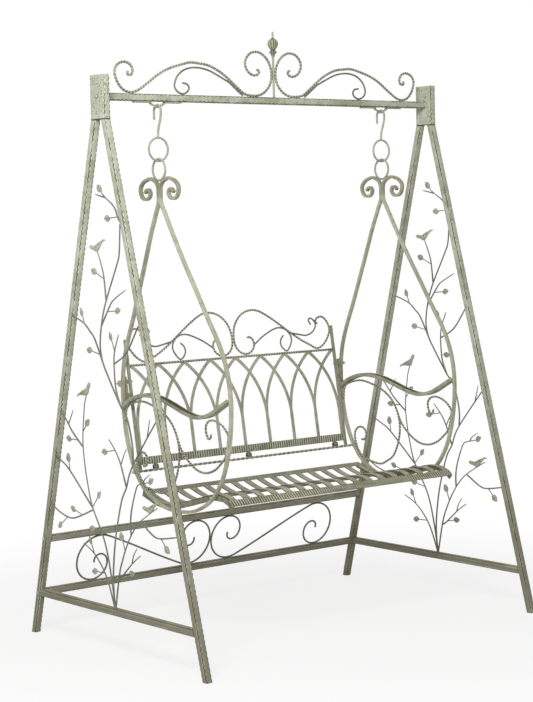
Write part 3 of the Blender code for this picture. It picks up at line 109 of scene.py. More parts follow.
# Seat, as in the frame
HOOP_WIDTH = 0.014
HOOP_THICKNESS = 0.010
HOOP_BOTTOM = 0.465
HOOP_HALF_DEPTH = 0.309
HOOP_MIDDLE = -0.0565
WAIST_LENGTH = 0.030
HORN_BEND = 0.036
HORN_LIFT = 0.0033
HORN_SPREAD = 0.110
SEAT_SHEET = 0.0025
SEAT_REAR = 0.157
SEAT_FRONT = -0.355
SEAT_HIGH = 0.543
SEAT_LOW = 0.482
SLAT_COUNT = 17
SLAT_WIDTH = 0.030
SEAT_RAIL_HEIGHT = 0.018
ARM_WIDTH = 0.027
ARM_HEIGHT = 0.013
ARM_GROOVE = 0.005
ARM_LIP = 0.005
ARM_LOW = 0.793
ARM_RISE = 0.058
ARM_ROD = 0.004

# Backrest, as in the frame
BACK_BOLT_HEIGHT = 0.887
BACK_LEAN = math.radians(9.2)
POST_X = 0.475
POST_WIDTH = 0.010
TOP_ROD_ABOVE_BOLT = 0.055
BAND_TOP_BELOW_BOLT = 0.268
BAND_HEIGHT = 0.027
BAND_THICKNESS = 0.006
BACK_ROD = 0.0045
STRIP_WIDTH = 0.012
STRIP_THICKNESS = 0.004
STRIP_LAYER = 0.001
BAY_COUNT = 8
ARCH_SPRING = 0.09
BACK_CREST_RISE = 0.173
BACK_CREST_ROD = 0.004
BACK_THIN_ROD = 0.003
LOW_ROD_HEIGHT = 0.577
KNUCKLE_X = 0.415
KNUCKLE_ROD = 0.0022
KNOT_TURNS = 4
KNOT_REACH = 0.009
STUD_REACH = 0.008

# Detail that only the looks have: the beaten corners of the tubes, the ribs of seat and band, twisted rods
NOTCH_PITCH = 0.0178
NOTCH_SWING = 0.0022
NOTCH_DEPTH = 0.0022
NOTCH_FLANK_SHARE = 0.58
CORNER = 0.0042
RIB_PITCH = 0.0105
RIB_DEPTH = 0.0010
RIB_COLUMNS = 8
TWIST_PITCH = 0.024
LONG_TWIST_PITCH = 0.043
SOFT_TWIST = 0.5
LOW_TWIST = 0.55
WORN_TWIST = 0.7
FULL_TWIST = 0.8

# How far apart the rings of a piece are
KNOT_SPACING = 0.0015
TWIST_SPACING = 0.0022
SMALLEST_RADIUS = 0.00005
FINE_SPACING = 0.003
ROD_SPACING = 0.004
HOOP_SPACING = 0.005
BAR_SPACING = 0.006
STRIP_SPACING = 0.008
ROD_SIDES = 10
FINE_SIDES = 12
FASTENER_SIDES = 24
FINIAL_SIDES = 48
TWIG_SIDES = 8

# Eased edges of flat bars, and the grain of their wear
EASED = 0.0012
HOOP_EASED = 0.0014
STRIP_EASED = 0.0010
PAD_EASED = 0.0008
POST_EASED = 0.0009
BRACKET_EASED = 0.0007
BAR_GRAIN = 21
ARM_GRAIN = 20

HALF_WIDTH = FRAME_WIDTH / 2
HALF_DEPTH = FRAME_DEPTH / 2
SIDE_X = HALF_WIDTH - TUBE / 2
TREE_X = HALF_WIDTH - BRANCH_ROD
LEG_TOP = FRAME_HEIGHT - BLOCK_HEIGHT - GAP
LEG_SLOPE = (HALF_DEPTH - BLOCK_DEPTH / 2) / LEG_TOP
LEG_ACROSS = TUBE * math.hypot(1, LEG_SLOPE)
LOOP_Z = BEAM_TOP - TUBE - GAP - LOOP_DROP
HOOK_TOP_Z = LOOP_Z + LOOP_ROD + HOOK_ROD + GAP
UPPER_RING_Z = HOOK_TOP_Z - HOOK_LENGTH - UPPER_RING
SEAT_PIVOT_Z = UPPER_RING_Z - UPPER_RING
LOWER_RING_Z = SEAT_PIVOT_Z + 2 * RING_ROD + GAP - LOWER_RING
HALF_WAIST = (HOOP_THICKNESS + GAP) / 2
HORN_Y = HORN_BEND + HALF_WAIST
RING_TO_HORN = LOWER_RING + RING_ROD + GAP + HORN_BEND + HOOP_THICKNESS / 2
HORN_Z = LOWER_RING_Z - math.sqrt(RING_TO_HORN**2 - HORN_Y**2)
WAIST_Z = HORN_Z - WAIST_LENGTH
HOOP_INNER_X = HANGER_X - HOOP_WIDTH / 2
HOOP_OUTER_X = HANGER_X + HOOP_WIDTH / 2
POST_INNER_X = POST_X - POST_WIDTH / 2

X_AXIS = Vector((1, 0, 0))
Y_AXIS = Vector((0, 1, 0))
UP_BACK = Vector((0, math.sin(BACK_LEAN), math.cos(BACK_LEAN)))
BEHIND_BACK = Vector((0, math.cos(BACK_LEAN), -math.sin(BACK_LEAN)))
BEHIND_REAR = Vector((0, 1, LEG_SLOPE)).normalized()


# Shader maths


class Wire:
    """A node's output socket, with the sums and products that the paints need."""

    def __init__(self, tree, socket):
        self.tree = tree
        self.socket = socket

    def sum(self, operation, *values):
        node = self.tree.nodes.new("ShaderNodeMath")
        node.operation = operation
        for slot, value in zip(node.inputs, values):
            if isinstance(value, Wire):
                self.tree.links.new(value.socket, slot)
            else:
                slot.default_value = value
        return Wire(self.tree, node.outputs[0])

    def __add__(self, other):
        return self.sum("ADD", self, other)

    __radd__ = __add__

    def __sub__(self, other):
        return self.sum("SUBTRACT", self, other)

    def __rsub__(self, other):
        return self.sum("SUBTRACT", other, self)

    def __mul__(self, other):
        return self.sum("MULTIPLY", self, other)

    __rmul__ = __mul__

    def most(self, other):
        return self.sum("MAXIMUM", self, other)

    def ramp(self, low, high):
        """Nought at the low value, one at the high one, smooth between them."""
        node = self.tree.nodes.new("ShaderNodeMapRange")
        node.interpolation_type = "SMOOTHSTEP"
        self.tree.links.new(self.socket, node.inputs["Value"])
        node.inputs["From Min"].default_value = low
        node.inputs["From Max"].default_value = high
        return Wire(self.tree, node.outputs[0])


class Finish:
    """A material under construction."""

    def __init__(self, name):
        self.material = bpy.data.materials.new(name)
        self.material.use_nodes = True
        self.tree = self.material.node_tree
        self.shader = self.tree.nodes["Principled BSDF"]
        self.output = self.tree.nodes["Material Output"]

    def node(self, kind, settings=None, output=0, **values):
        """Adds a node; values are its sockets' names, with spaces written as underscores."""
        made = self.tree.nodes.new(kind)
        for key, value in (settings or {}).items():
            setattr(made, key, value)
        for key, value in values.items():
            self.set(made.inputs[key.replace("_", " ")], value)
        return Wire(self.tree, made.outputs[output])

    def set(self, slot, value):
        if isinstance(value, Wire):
            self.tree.links.new(value.socket, slot)
        else:
            slot.default_value = value

    def noise(self, where, scale, detail, roughness=0.55):
        values = {"Vector": where, "Scale": scale, "Detail": detail, "Roughness": roughness}
        return self.node("ShaderNodeTexNoise", None, "Fac", **values)

    def blend(self, share, first, second):
        """Mixes two colours."""
        made = self.tree.nodes.new("ShaderNodeMix")
        made.data_type = "RGBA"
        self.set(made.inputs[0], share)
        self.set(made.inputs[6], first if isinstance(first, Wire) else (*first, 1))
        self.set(made.inputs[7], second if isinstance(second, Wire) else (*second, 1))
        return Wire(self.tree, made.outputs[2])

    def look(self, colour, roughness, metallic):
        for label, value in (("Base Color", colour), ("Roughness", roughness), ("Metallic", metallic)):
            self.set(self.shader.inputs[label], value)

    def relief(self, height, strength, distance):
        lumps = self.node("ShaderNodeBump", None, 0, Height=height, Strength=strength, Distance=distance)
        self.set(self.shader.inputs["Normal"], lumps)


# Grain of the finishes, in repeats over a metre
BROAD_GRAIN = 5.0
PATCH_GRAIN = 46.0
FINE_GRAIN = 420.0
DENT_GRAIN = 112.0
SPOT_GRAIN = 160.0

# Where each layer of the paint starts and is full
LIGHT_LIMITS = (0.36, 0.64)
DUST_LIMITS = (0.54, 0.68)
LOW_LIMITS = (0.05, 1.10)
HIGHLIGHT_LIMITS = (0.15, 0.75)
RUB_LIMITS = (0.42, 0.78)
DENT_LIMITS = (0.18, 0.46)
DENT_PATCH_LIMITS = (0.36, 0.58)
SHADE_LIMITS = (0.10, 0.90)
BROWNED_LIMITS = (0.52, 0.80)

# How far each layer covers the one under it, and how its colour follows from the paint's own
DUST_COVER = 0.42
HIGHLIGHT_COVER = 0.85
RUB_COVER = 0.72
SHADE_COVER = 0.93
HIGHLIGHT_GAIN = 1.22
BRIGHTEST = 0.9
LOW_PAINT_SHARE = 0.42
LOW_BROWN_SHARE = 0.34
SHADE_BROWN_SHARE = 0.60


def painted(name, paint, light, brown, wear=1.0, dapple=0.0, low_tone=0.0, bump=0.25):
    """Antique paint: mottled sage, rubbed light in places and brown where wear has gone through it.

    The vertices' wear-and-highlight value is above nought where brown wear shows and below nought on raised
    ridges, where a highlight is painted.
    """
    finish = Finish(name)
    where = finish.node("ShaderNodeTexCoord", None, "Object")
    wear_and_highlight = finish.node("ShaderNodeAttribute", {"attribute_name": "wear_and_highlight"}, "Fac")
    painted_shade = finish.node("ShaderNodeAttribute", {"attribute_name": "painted_shade"}, "Fac")
    broad = finish.noise(where, BROAD_GRAIN, 2.0)
    patchy = finish.noise(where, PATCH_GRAIN, 4.0, 0.6)
    fine = finish.noise(where, FINE_GRAIN, 3.0, 0.6)
    tone = finish.blend((patchy * 0.6 + broad * 0.4).ramp(*LIGHT_LIMITS), paint, light)
    coat = finish.blend((fine * 0.5 + patchy * 0.5).ramp(*DUST_LIMITS) * DUST_COVER, tone, brown)
    if low_tone:
        height = finish.node("ShaderNodeSeparateXYZ", None, "Z", Vector=where)
        dark = tuple(LOW_PAINT_SHARE * p + LOW_BROWN_SHARE * b for p, b in zip(paint, brown))
        coat = finish.blend((1 - height.ramp(*LOW_LIMITS)) * (0.62 + 0.50 * broad) * low_tone, coat, dark)
    # Painted highlight: where the wear-and-highlight value is below nought, on raised ridges, the coat turns
    # to a brighter tone of the light paint.
    highlight_colour = tuple(min(BRIGHTEST, HIGHLIGHT_GAIN * c) for c in light)
    ridge_highlight = (wear_and_highlight * -1.0 + (patchy - 0.5) * 0.5).ramp(*HIGHLIGHT_LIMITS)
    coat = finish.blend(ridge_highlight * HIGHLIGHT_COVER, coat, highlight_colour)
    rubbed = (wear_and_highlight * wear + (patchy - 0.5) * 1.1 + (fine - 0.5) * 0.5).ramp(*RUB_LIMITS)
    coat = finish.blend(rubbed * RUB_COVER, coat, brown)
    lumps = patchy * 0.55 + fine * 0.45 - rubbed * 0.25
    if dapple:
        cells = finish.node("ShaderNodeTexVoronoi", {"feature": "F1"}, "Distance", Vector=where,
                            Scale=DENT_GRAIN, Randomness=0.75)
        dents = 1 - cells.ramp(*DENT_LIMITS)
        coat = finish.blend(dents * patchy.ramp(*DENT_PATCH_LIMITS) * dapple, coat, brown)
        lumps = lumps - dents * 1.6
    # Painted shade: hollows, notches, joints and other shaded spots are drawn in a deep brown, by the painted
    # shade value.
    deep = tuple(SHADE_BROWN_SHARE * c for c in brown)
    coat = finish.blend(painted_shade.ramp(*SHADE_LIMITS) * SHADE_COVER, coat, deep)
    finish.look(coat, 0.50 + patchy * 0.16 - rubbed * 0.08 + painted_shade * 0.36, 0.0)
    finish.shader.inputs["Specular IOR Level"].default_value = 0.42
    finish.relief(lumps, bump, 0.0006)
    return finish.material


def bare_steel(name, colour, rust):
    """Fasteners: dull steel that has browned in its low spots."""
    finish = Finish(name)
    where = finish.node("ShaderNodeTexCoord", None, "Object")
    wear_and_highlight = finish.node("ShaderNodeAttribute", {"attribute_name": "wear_and_highlight"}, "Fac")
    spots = finish.noise(where, SPOT_GRAIN, 4.0, 0.62)
    browned = (spots * 0.8 + wear_and_highlight * 0.5).ramp(*BROWNED_LIMITS)
    finish.look(finish.blend(browned, colour, rust), 0.42 + browned * 0.22, 0.30 - browned * 0.2)
    finish.relief(spots, 0.3, 0.0004)
    return finish.material


# Each paint: its colour, then its colour where it is rubbed light, then its brown where wear shows. Their
# brightness differs part by part to match each part's tone as lit: partly the parts' own tone, partly painted
# light and shade.
TUBE_PAINT = painted("sage_tube", (0.338, 0.350, 0.250), (0.560, 0.590, 0.475), (0.150, 0.108, 0.060),
                     wear=0.8, low_tone=1.05)
BLOCK_PAINT = painted("hammered_block", (0.455, 0.480, 0.365), (0.590, 0.620, 0.495), (0.15, 0.12, 0.07),
                      wear=0.4, dapple=0.95, bump=0.5)
ROD_PAINT = painted("sage_rod", (0.260, 0.270, 0.190), (0.43, 0.445, 0.335), (0.092, 0.075, 0.045), wear=0.9)
THIN_PAINT = painted("dark_thin_rod", (0.125, 0.132, 0.100), (0.235, 0.247, 0.190), (0.055, 0.052, 0.040),
                     wear=0.8)
SEAT_PAINT = painted("sage_seat", (0.250, 0.258, 0.176), (0.440, 0.452, 0.330), (0.086, 0.070, 0.040),
                     wear=0.9)
HOOP_PAINT = painted("sage_hoop", (0.335, 0.342, 0.240), (0.540, 0.550, 0.420), (0.150, 0.108, 0.060),
                     wear=0.95)
BACK_PAINT = painted("sage_back", (0.285, 0.296, 0.210), (0.470, 0.488, 0.370), (0.110, 0.088, 0.052),
                     wear=0.8)
LEAF_PAINT = painted("leaf_sage", (0.330, 0.345, 0.250), (0.520, 0.540, 0.420), (0.085, 0.078, 0.050),
                     wear=0.9)
FASTENER = bare_steel("browned_fastener", (0.44, 0.46, 0.36), (0.13, 0.10, 0.06))


# Meshes


class Shape:
    """Vertices with their wear-and-highlight and painted shade values, and faces, that become one piece."""

    def __init__(self):
        self.places = []
        self.wear_and_highlight = []
        self.painted_shade = []
        self.faces = []

    def add(self, place, wear_and_highlight=0.0, painted_shade=0.0):
        self.places.append(place)
        self.wear_and_highlight.append(wear_and_highlight)
        self.painted_shade.append(painted_shade)
        return len(self.places) - 1

    def ring(self, rows):
        """Rows of (place, wear and highlight, painted shade)."""
        return [self.add(*row) for row in rows]

    def skin(self, rings, closed=False):
        """Faces between rings of the same size; closed joins the last ring to the first."""
        pairs = list(zip(rings, rings[1:]))
        if closed:
            pairs.append((rings[-1], rings[0]))
        for low, high in pairs:
            size = len(low)
            for k in range(size):
                n = (k + 1) % size
                self.faces.append((low[k], low[n], high[n], high[k]))
        if not closed:
            self.faces.append(tuple(reversed(rings[0])))
            self.faces.append(tuple(rings[-1]))


def make_piece(name, shape, material, body, nodes, sharp=50):
    """Turns a shape into a piece that rides on a body and stands for these nodes."""
    mesh = bpy.data.meshes.new(name)
    mesh.from_pydata([tuple(p) for p in shape.places], [], shape.faces)
    for label, values in (("wear_and_highlight", shape.wear_and_highlight), ("painted_shade", shape.painted_shade)):
        mesh.attributes.new(label, "FLOAT", "POINT").data.foreach_set("value", values)
    work = bmesh.new()
    work.from_mesh(mesh)
    bmesh.ops.recalc_face_normals(work, faces=work.faces)
    work.to_mesh(mesh)
    work.free()
    mesh.shade_smooth()
    mesh.set_sharp_from_angle(angle=math.radians(sharp))
    mesh.materials.append(material)
    piece = bpy.data.objects.new(name, mesh)
    bpy.context.scene.collection.objects.link(piece)
    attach(piece, body)
    if nodes:
        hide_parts(*nodes)
    return piece


# Flat paths, as in the frame but smoother


def degrees(*angles):
    return [math.radians(a) for a in angles]


def arc(centre, radius, start, end):
    count = max(2, math.ceil(abs(end - start) / ROUND_STEP))
    angles = [start + (end - start) * k / count for k in range(count + 1)]
    return [Vector((centre[0] + radius * math.cos(a), centre[1] + radius * math.sin(a))) for a in angles]


def curl(centre, outer, eye, start, end):
    count = math.ceil(abs(end - start) / ROUND_STEP)
    points = []
    for k in range(count + 1):
        angle = start + (end - start) * k / count
        share = 1 - k / count
        radius = eye + (outer - eye) * share * share * (3 - 2 * share)
        points.append(Vector((centre[0] + radius * math.cos(angle), centre[1] + radius * math.sin(angle))))
    return points


def onward(last, middle, first=None):
    if first is None:
        return (last - middle).normalized()
    return (3 * last - 4 * middle + first).normalized()


def bridge(before, after):
    start = before[-1]
    end = after[0]
    reach = (end - start).length * BRIDGE_REACH_SHARE
    first = start + onward(*before[: -4 : -1]) * reach
    second = end + onward(*after[:3]) * reach
    run = []
    for k in range(1, BRIDGE_STEPS):
        t = k / BRIDGE_STEPS
        u = 1 - t
        run.append(start * u**3 + first * (3 * u * u * t) + second * (3 * u * t * t) + end * t**3)
    return run


def chain(*stretches):
    points = list(stretches[0])
    for stretch in stretches[1:]:
        points += bridge(points, stretch)
        points += stretch
    return points


def through(points, steps=CURVE_STEPS):
    """A smooth curve through these points, flat or not."""
    spots = [Vector(p) for p in points]
    if len(spots) < 3:
        return spots
    ends = [2 * spots[0] - spots[1], *spots, 2 * spots[-1] - spots[-2]]
    curve = []
    for k in range(1, len(ends) - 2):
        a, b, c, d = ends[k - 1 : k + 3]
        for step in range(steps):
            t = step / steps
            bend = (2 * a - 5 * b + 4 * c - d) * t**2 + (3 * b - a - 3 * c + d) * t**3
            curve.append((2 * b + (c - a) * t + bend) / 2)
    curve.append(spots[-1])
    return curve


def beside(points, distance):
    moved = []
    for k, point in enumerate(points):
        along = (points[min(k + 1, len(points) - 1)] - points[max(k - 1, 0)]).normalized()
        moved.append(point + Vector((-along.y, along.x)) * distance)
    return moved


def shifted(points, x, z):
    return [p + Vector((x, z)) for p in points]


def set_down(points, level):
    return shifted(points, 0, level - min(p.y for p in points))


def mirrored(points, side):
    return [Vector((p.x * side, p.y)) for p in points]


def crossing(first, second):
    for a, b in zip(first, first[1:]):
        for c, d in zip(second, second[1:]):
            spot = intersect_line_line_2d(a, b, c, d)
            if spot:
                return spot
    return None


def nearest_spot(point, lines):
    spots = []
    for line in lines:
        for a, b in zip(line, line[1:]):
            share = intersect_point_line(point, a, b)[1]
            spots.append(a.lerp(b, min(max(share, 0), 1)))
    return min(spots, key=lambda spot: (spot - point).length)


def in_front_plane(p):
    return Vector((p[0], 0, p[1]))


def in_side_plane(p, x=0.0):
    return Vector((x, p[0], p[1]))


def side_line(points, x):
    return [in_side_plane(p, x) for p in points]


def front_line(points, x):
    return [in_front_plane(p) + X_AXIS * x for p in points]


def in_back_plane(p):
    return back_origin() + X_AXIS * p[0] + UP_BACK * p[1]


def in_rear_plane(p):
    return Vector((p[0], leg_outer_y(p[1]) - LEG_ACROSS / 2, p[1]))


def evenly(points, spacing, closed=False):
    """The same path with its points about this far apart."""
    line = list(points) + ([points[0]] if closed else [])
    lengths = [0.0]
    for a, b in zip(line, line[1:]):
        lengths.append(lengths[-1] + (b - a).length)
    count = max(2, round(lengths[-1] / spacing))
    result = []
    spot = 0
    for k in range(count + (0 if closed else 1)):
        goal = lengths[-1] * k / count
        while spot < len(line) - 2 and lengths[spot + 1] < goal:
            spot += 1
        span = lengths[spot + 1] - lengths[spot]
        share = (goal - lengths[spot]) / span if span else 0
        result.append(line[spot].lerp(line[spot + 1], min(max(share, 0), 1)))
    return result


def travel(points, normal, closed=False):
    """For each point of a path: the point, the direction across its plane and the direction beside it."""
    count = len(points)
    for k, point in enumerate(points):
        ahead = points[(k + 1) % count] if closed else points[min(k + 1, count - 1)]
        behind = points[k - 1] if closed else points[max(k - 1, 0)]
        along = (ahead - behind).normalized()
        beside_it = normal.cross(along).normalized()
        yield point, along.cross(beside_it), beside_it


# Bars and rods


# A rod's hammered skin: how deep and how fine its dents are, and the grain of its wear
HAMMER_DEPTH_SHARE = 0.05
HAMMER_GRAIN = 160
ROD_WEAR_GRAIN = 34
ROD_END_SHARE = 0.72
TWIST_END_SHARE = 0.75


def add_rod(shape, points, normal, radius, closed=False, taper=(1, 1), sides=ROD_SIDES, spacing=ROD_SPACING):
    """A round rod, a little uneven from the hammer; taper holds the shares of its radius at both ends."""
    line = evenly(points, spacing, closed)
    last = len(line) - 1
    rings = []
    for k, (point, across, beside_it) in enumerate(travel(line, normal, closed)):
        scale = taper[0] + (taper[1] - taper[0]) * k / last
        if not closed and k in (0, last):
            scale *= ROD_END_SHARE
        rows = []
        for j in range(sides):
            angle = math.tau * j / sides
            out = across * math.cos(angle) + beside_it * math.sin(angle)
            rough = 1 + HAMMER_DEPTH_SHARE * noise.noise((point + out * radius) * HAMMER_GRAIN)
            rub = 0.35 + 0.65 * noise.noise(point * ROD_WEAR_GRAIN + out * 0.8)
            rows.append((point + out * radius * scale * rough, max(0.0, rub) * 0.6, 0.0))
        rings.append(shape.ring(rows))
    shape.skin(rings, closed)


# Round half a twisted rod, from one crest to the next: share of its radius, wear and highlight, and painted
# shade
TWIST_ROWS = (
    (1.12, -1.0, 0.0), (1.06, -0.8, 0.0), (0.90, 0.0, 0.35), (0.78, 0.0, 0.95),
    (0.74, 0.0, 1.0), (0.78, 0.0, 0.95), (0.90, 0.0, 0.35), (1.06, -0.8, 0.0),
)
TWIST_SIDES = 2 * len(TWIST_ROWS)


def add_twisted(shape, points, normal, radius, depth=FULL_TWIST, pitch=TWIST_PITCH):
    """A rod twisted along its length: two ridges wind round it with hollows between them; a highlight is
    painted on the ridges and shade in the hollows.
    """
    line = evenly(points, TWIST_SPACING)
    rings = []
    for k, (point, across, beside_it) in enumerate(travel(line, normal)):
        turn = math.tau * k * TWIST_SPACING / pitch
        scale = TWIST_END_SHARE if k in (0, len(line) - 1) else 1.0
        rub = noise.noise(point * 23)
        rows = []
        for j in range(TWIST_SIDES):
            angle = math.tau * j / TWIST_SIDES + turn
            reach, wear_and_highlight, painted_shade = TWIST_ROWS[j % len(TWIST_ROWS)]
            out = across * math.cos(angle) + beside_it * math.sin(angle)
            place = point + out * reach * radius * scale
            rows.append((place, wear_and_highlight * depth * (1 + rub), painted_shade * depth * (1 - 0.3 * rub)))
        rings.append(shape.ring(rows))
    shape.skin(rings)


def add_section(shape, line, normal, rows, grain, shade=None):
    """A section carried along a line; its rows are a way across, a way beside, wear and highlight, and
    painted shade.
    """
    rings = []
    for point, across, beside_it in travel(line, normal):
        rub = max(0.0, 0.65 + 0.9 * noise.noise(point * grain))
        dim = shade(point) if shade else 0.0
        rings.append(shape.ring([(point + across * p + beside_it * q, wear * rub, max(painted_shade, dim))
                                 for p, q, wear, painted_shade in rows]))
    shape.skin(rings)


def add_bar(shape, points, normal, width, depth, eased=EASED, spacing=BAR_SPACING, shade=None):
    """A flat bar with eased edges, brown with wear along them."""
    a = width / 2
    b = depth / 2
    rows = []
    for u, v in ((1, -1), (1, 1), (-1, 1), (-1, -1)):
        corner = [(u * (a - 2 * eased), v * b, 0.05, 0.0), (u * (a - eased), v * b, 0.55, 0.0),
                  (u * a, v * (b - eased), 0.75, 0.0), (u * a, v * (b - 2 * eased), 0.05, 0.0)]
        rows += corner if u * v < 0 else list(reversed(corner))
    add_section(shape, evenly(points, spacing), normal, rows, BAR_GRAIN, shade)


def notch_row(spread, swing):
    """Places across a beaten corner, from one face to the next: way from the corner, depth, wear and
    highlight, painted shade. The notch gets painted shade and its flanks a painted highlight.
    """
    middle = NOTCH_SWING * swing
    flank = spread * NOTCH_FLANK_SHARE
    return (
        (-spread * 2, 0.0, 0.0, 0.0), (middle - spread, 0.0, -0.5, 0.0), (middle - flank, 0.45, 0.0, 0.92),
        (middle, 1.0, 0.5, 1.0), (middle + flank, 0.45, 0.0, 0.92), (middle + spread, 0.0, -0.5, 0.0),
        (spread * 2, 0.0, 0.0, 0.0),
    )


def add_notched(shape, low, high, dark=0):
    """A tube between two four-cornered ends; a notched line swings to and fro over each beaten corner.

    At the end that dark names (-1 or 1) the last millimetres lie in the shade of a joint.
    """
    length = sum((b - a).length for a, b in zip(low, high)) / 4
    count = max(8, 4 * round(length / NOTCH_PITCH))
    shaded = {-1: 0, 1: count}.get(dark)
    rings = []
    for k in range(count + 1):
        corners = [a.lerp(b, k / count) for a, b in zip(low, high)]
        swing = (0.0, 1.0, 0.0, -1.0)[k % 4]
        rows = []
        for j, here in enumerate(corners):
            before = (corners[j - 1] - here).normalized()
            after = (corners[(j + 1) % 4] - here).normalized()
            rub = max(0.2, 0.85 + 0.9 * noise.noise(here * 9 + Vector((j * 2.7, 0, 0))))
            beaten = max(0.35, 0.9 + 0.8 * noise.noise(here * 31 + Vector((0, j * 1.9, 0))))
            strength = min(1.0, beaten) * (0.86 + 0.14 * swing)
            for way, depth, wear_and_highlight, painted_shade in notch_row(CORNER, swing * (-1) ** j):
                eased = max(0.0, CORNER - abs(way)) * 0.30
                inward = (before + after) * (eased + depth * NOTCH_DEPTH * beaten / 2)
                place = here + (after if way > 0 else before) * abs(way) + inward
                rows.append((place, wear_and_highlight * rub, 1.0 if k == shaded else painted_shade * strength))
        rings.append(shape.ring(rows))
    shape.skin(rings)


def add_turned(shape, profile, place, sides, flutes=0, depth=0.0):
    """A shape turned about Z, from rows of radius, height and painted shade, which is also its wear where it
    has no flutes; place(point) sets it down. Flutes get painted shade in their hollows and a painted
    highlight between them.
    """
    rings = []
    for radius, height, painted_shade in profile:
        rows = []
        for j in range(sides):
            angle = math.tau * j / sides
            fluted = flutes and radius > FINIAL_STEM * 1.25
            hollow = (1 - abs(math.sin(angle * flutes / 2))) ** 2 if fluted else 0.0
            reach = max(radius, SMALLEST_RADIUS) * (1 - depth * hollow)
            spot = Vector((reach * math.cos(angle), reach * math.sin(angle), height))
            wear_and_highlight = 0.1 - 0.5 * (1 - hollow) if flutes else painted_shade
            rows.append((place(spot), wear_and_highlight, max(painted_shade, hollow)))
        rings.append(shape.ring(rows))
    shape.skin(rings)


# Stand


def leg_outer_y(z):
    return HALF_DEPTH - LEG_SLOPE * z


def leg_inner_y(z):
    return leg_outer_y(z) - LEG_ACROSS


def upright_square(x_low, x_high, y_low, y_high, z):
    return [Vector((x_low, y_low, z)), Vector((x_high, y_low, z)), Vector((x_high, y_high, z)),
            Vector((x_low, y_high, z))]


def make_legs(word, side):
    for facing, label in ((FRONT, "front"), (REAR, "rear")):
        ends = []
        for z in (0.0, LEG_TOP):
            low, high = sorted((facing * leg_inner_y(z), facing * leg_outer_y(z)))
            middle = side * SIDE_X
            ends.append(upright_square(middle - TUBE / 2, middle + TUBE / 2, low, high, z))
        shape = Shape()
        add_notched(shape, *ends, dark=1)
        make_piece(f"{word}_{label}_leg_tube", shape, TUBE_PAINT, "stand", [f"{word}_{label}_leg"])


def make_rails():
    for node in ("top_beam", "rear_upper_rail", "rear_lower_rail"):
        low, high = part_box(node)
        ends = [[Vector((x, low.y, low.z)), Vector((x, high.y, low.z)), Vector((x, high.y, high.z)),
                 Vector((x, low.y, high.z))] for x in (low.x, high.x)]
        shape = Shape()
        add_notched(shape, *ends)
        make_piece(node + "_tube", shape, TUBE_PAINT, "stand", [node])


def make_side_rail(word, side):
    """The rail between two legs; its ends follow their slope."""
    left, right = side * SIDE_X - TUBE / 2, side * SIDE_X + TUBE / 2
    low, high = SIDE_RAIL_TOP - TUBE, SIDE_RAIL_TOP
    ends = []
    for facing in (FRONT, REAR):
        foot = facing * (leg_inner_y(low) - GAP)
        top = facing * (leg_inner_y(high) - GAP)
        ends.append([Vector((left, foot, low)), Vector((right, foot, low)), Vector((right, top, high)),
                     Vector((left, top, high))])
    shape = Shape()
    add_notched(shape, *ends)
    make_piece(word + "_side_rail_tube", shape, TUBE_PAINT, "stand", [word + "_side_rail"])


def make_block(word):
    low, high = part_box(word + "_top_block")
    shape = Shape()
    ends = [upright_square(low.x, high.x, low.y, high.y, z) for z in (low.z, high.z)]
    add_notched(shape, *ends, dark=-1)
    make_piece(word + "_hammered_block", shape, BLOCK_PAINT, "stand", [word + "_top_block"])


# One half of the crest in shares of CREST_SPAN along the beam and of CREST_RISE above it: the main scroll
# from the hook beside the finial to its arch, then from the arch to its outer hook, and the thin scroll
# from where it leaves the main one
CREST_NEAR_SHARES = (
    (0.111, 0.608), (0.097, 0.586), (0.100, 0.513), (0.127, 0.478), (0.157, 0.522), (0.179, 0.627),
    (0.185, 0.752), (0.173, 0.876), (0.146, 0.971), (0.107, 1.000), (0.071, 0.949), (0.041, 0.841),
    (0.022, 0.701), (0.013, 0.522), (0.021, 0.328), (0.041, 0.194), (0.074, 0.083), (0.107, 0.037),
    (0.139, 0.031), (0.166, 0.037), (0.191, 0.062), (0.215, 0.121), (0.262, 0.274), (0.311, 0.431),
    (0.364, 0.562), (0.426, 0.662), (0.500, 0.701),
)
CREST_FAR_SHARES = (
    (0.571, 0.672), (0.653, 0.576), (0.723, 0.443), (0.794, 0.239), (0.831, 0.134), (0.857, 0.070),
    (0.882, 0.036), (0.905, 0.031), (0.928, 0.051), (0.952, 0.115), (0.975, 0.242), (0.989, 0.410),
    (0.986, 0.520), (0.968, 0.614), (0.935, 0.662), (0.904, 0.631), (0.886, 0.541), (0.885, 0.445),
    (0.900, 0.385), (0.914, 0.415), (0.912, 0.470),
)
INNER_TRACK_SHARES = (0.204, 0.295)
INNER_SHARES = (
    (0.319, 0.360), (0.343, 0.410), (0.382, 0.484), (0.410, 0.535), (0.453, 0.581), (0.500, 0.599),
    (0.544, 0.578), (0.582, 0.516), (0.616, 0.392), (0.632, 0.236), (0.631, 0.153), (0.615, 0.067),
    (0.584, 0.022), (0.556, 0.067), (0.544, 0.156), (0.557, 0.236), (0.585, 0.258),
)


def crest_spots(rows):
    return [Vector((x * CREST_SPAN, BEAM_TOP + z * CREST_RISE)) for x, z in rows]


def crest_path():
    level = BEAM_TOP + GAP + CREST_ROD
    near = set_down(through(crest_spots(CREST_NEAR_SHARES)), level)
    near = shifted(near, FINIAL_STEM + GAP + CREST_ROD - min(p.x for p in near), 0)
    return chain(near, set_down(through(crest_spots(CREST_FAR_SHARES)), level))


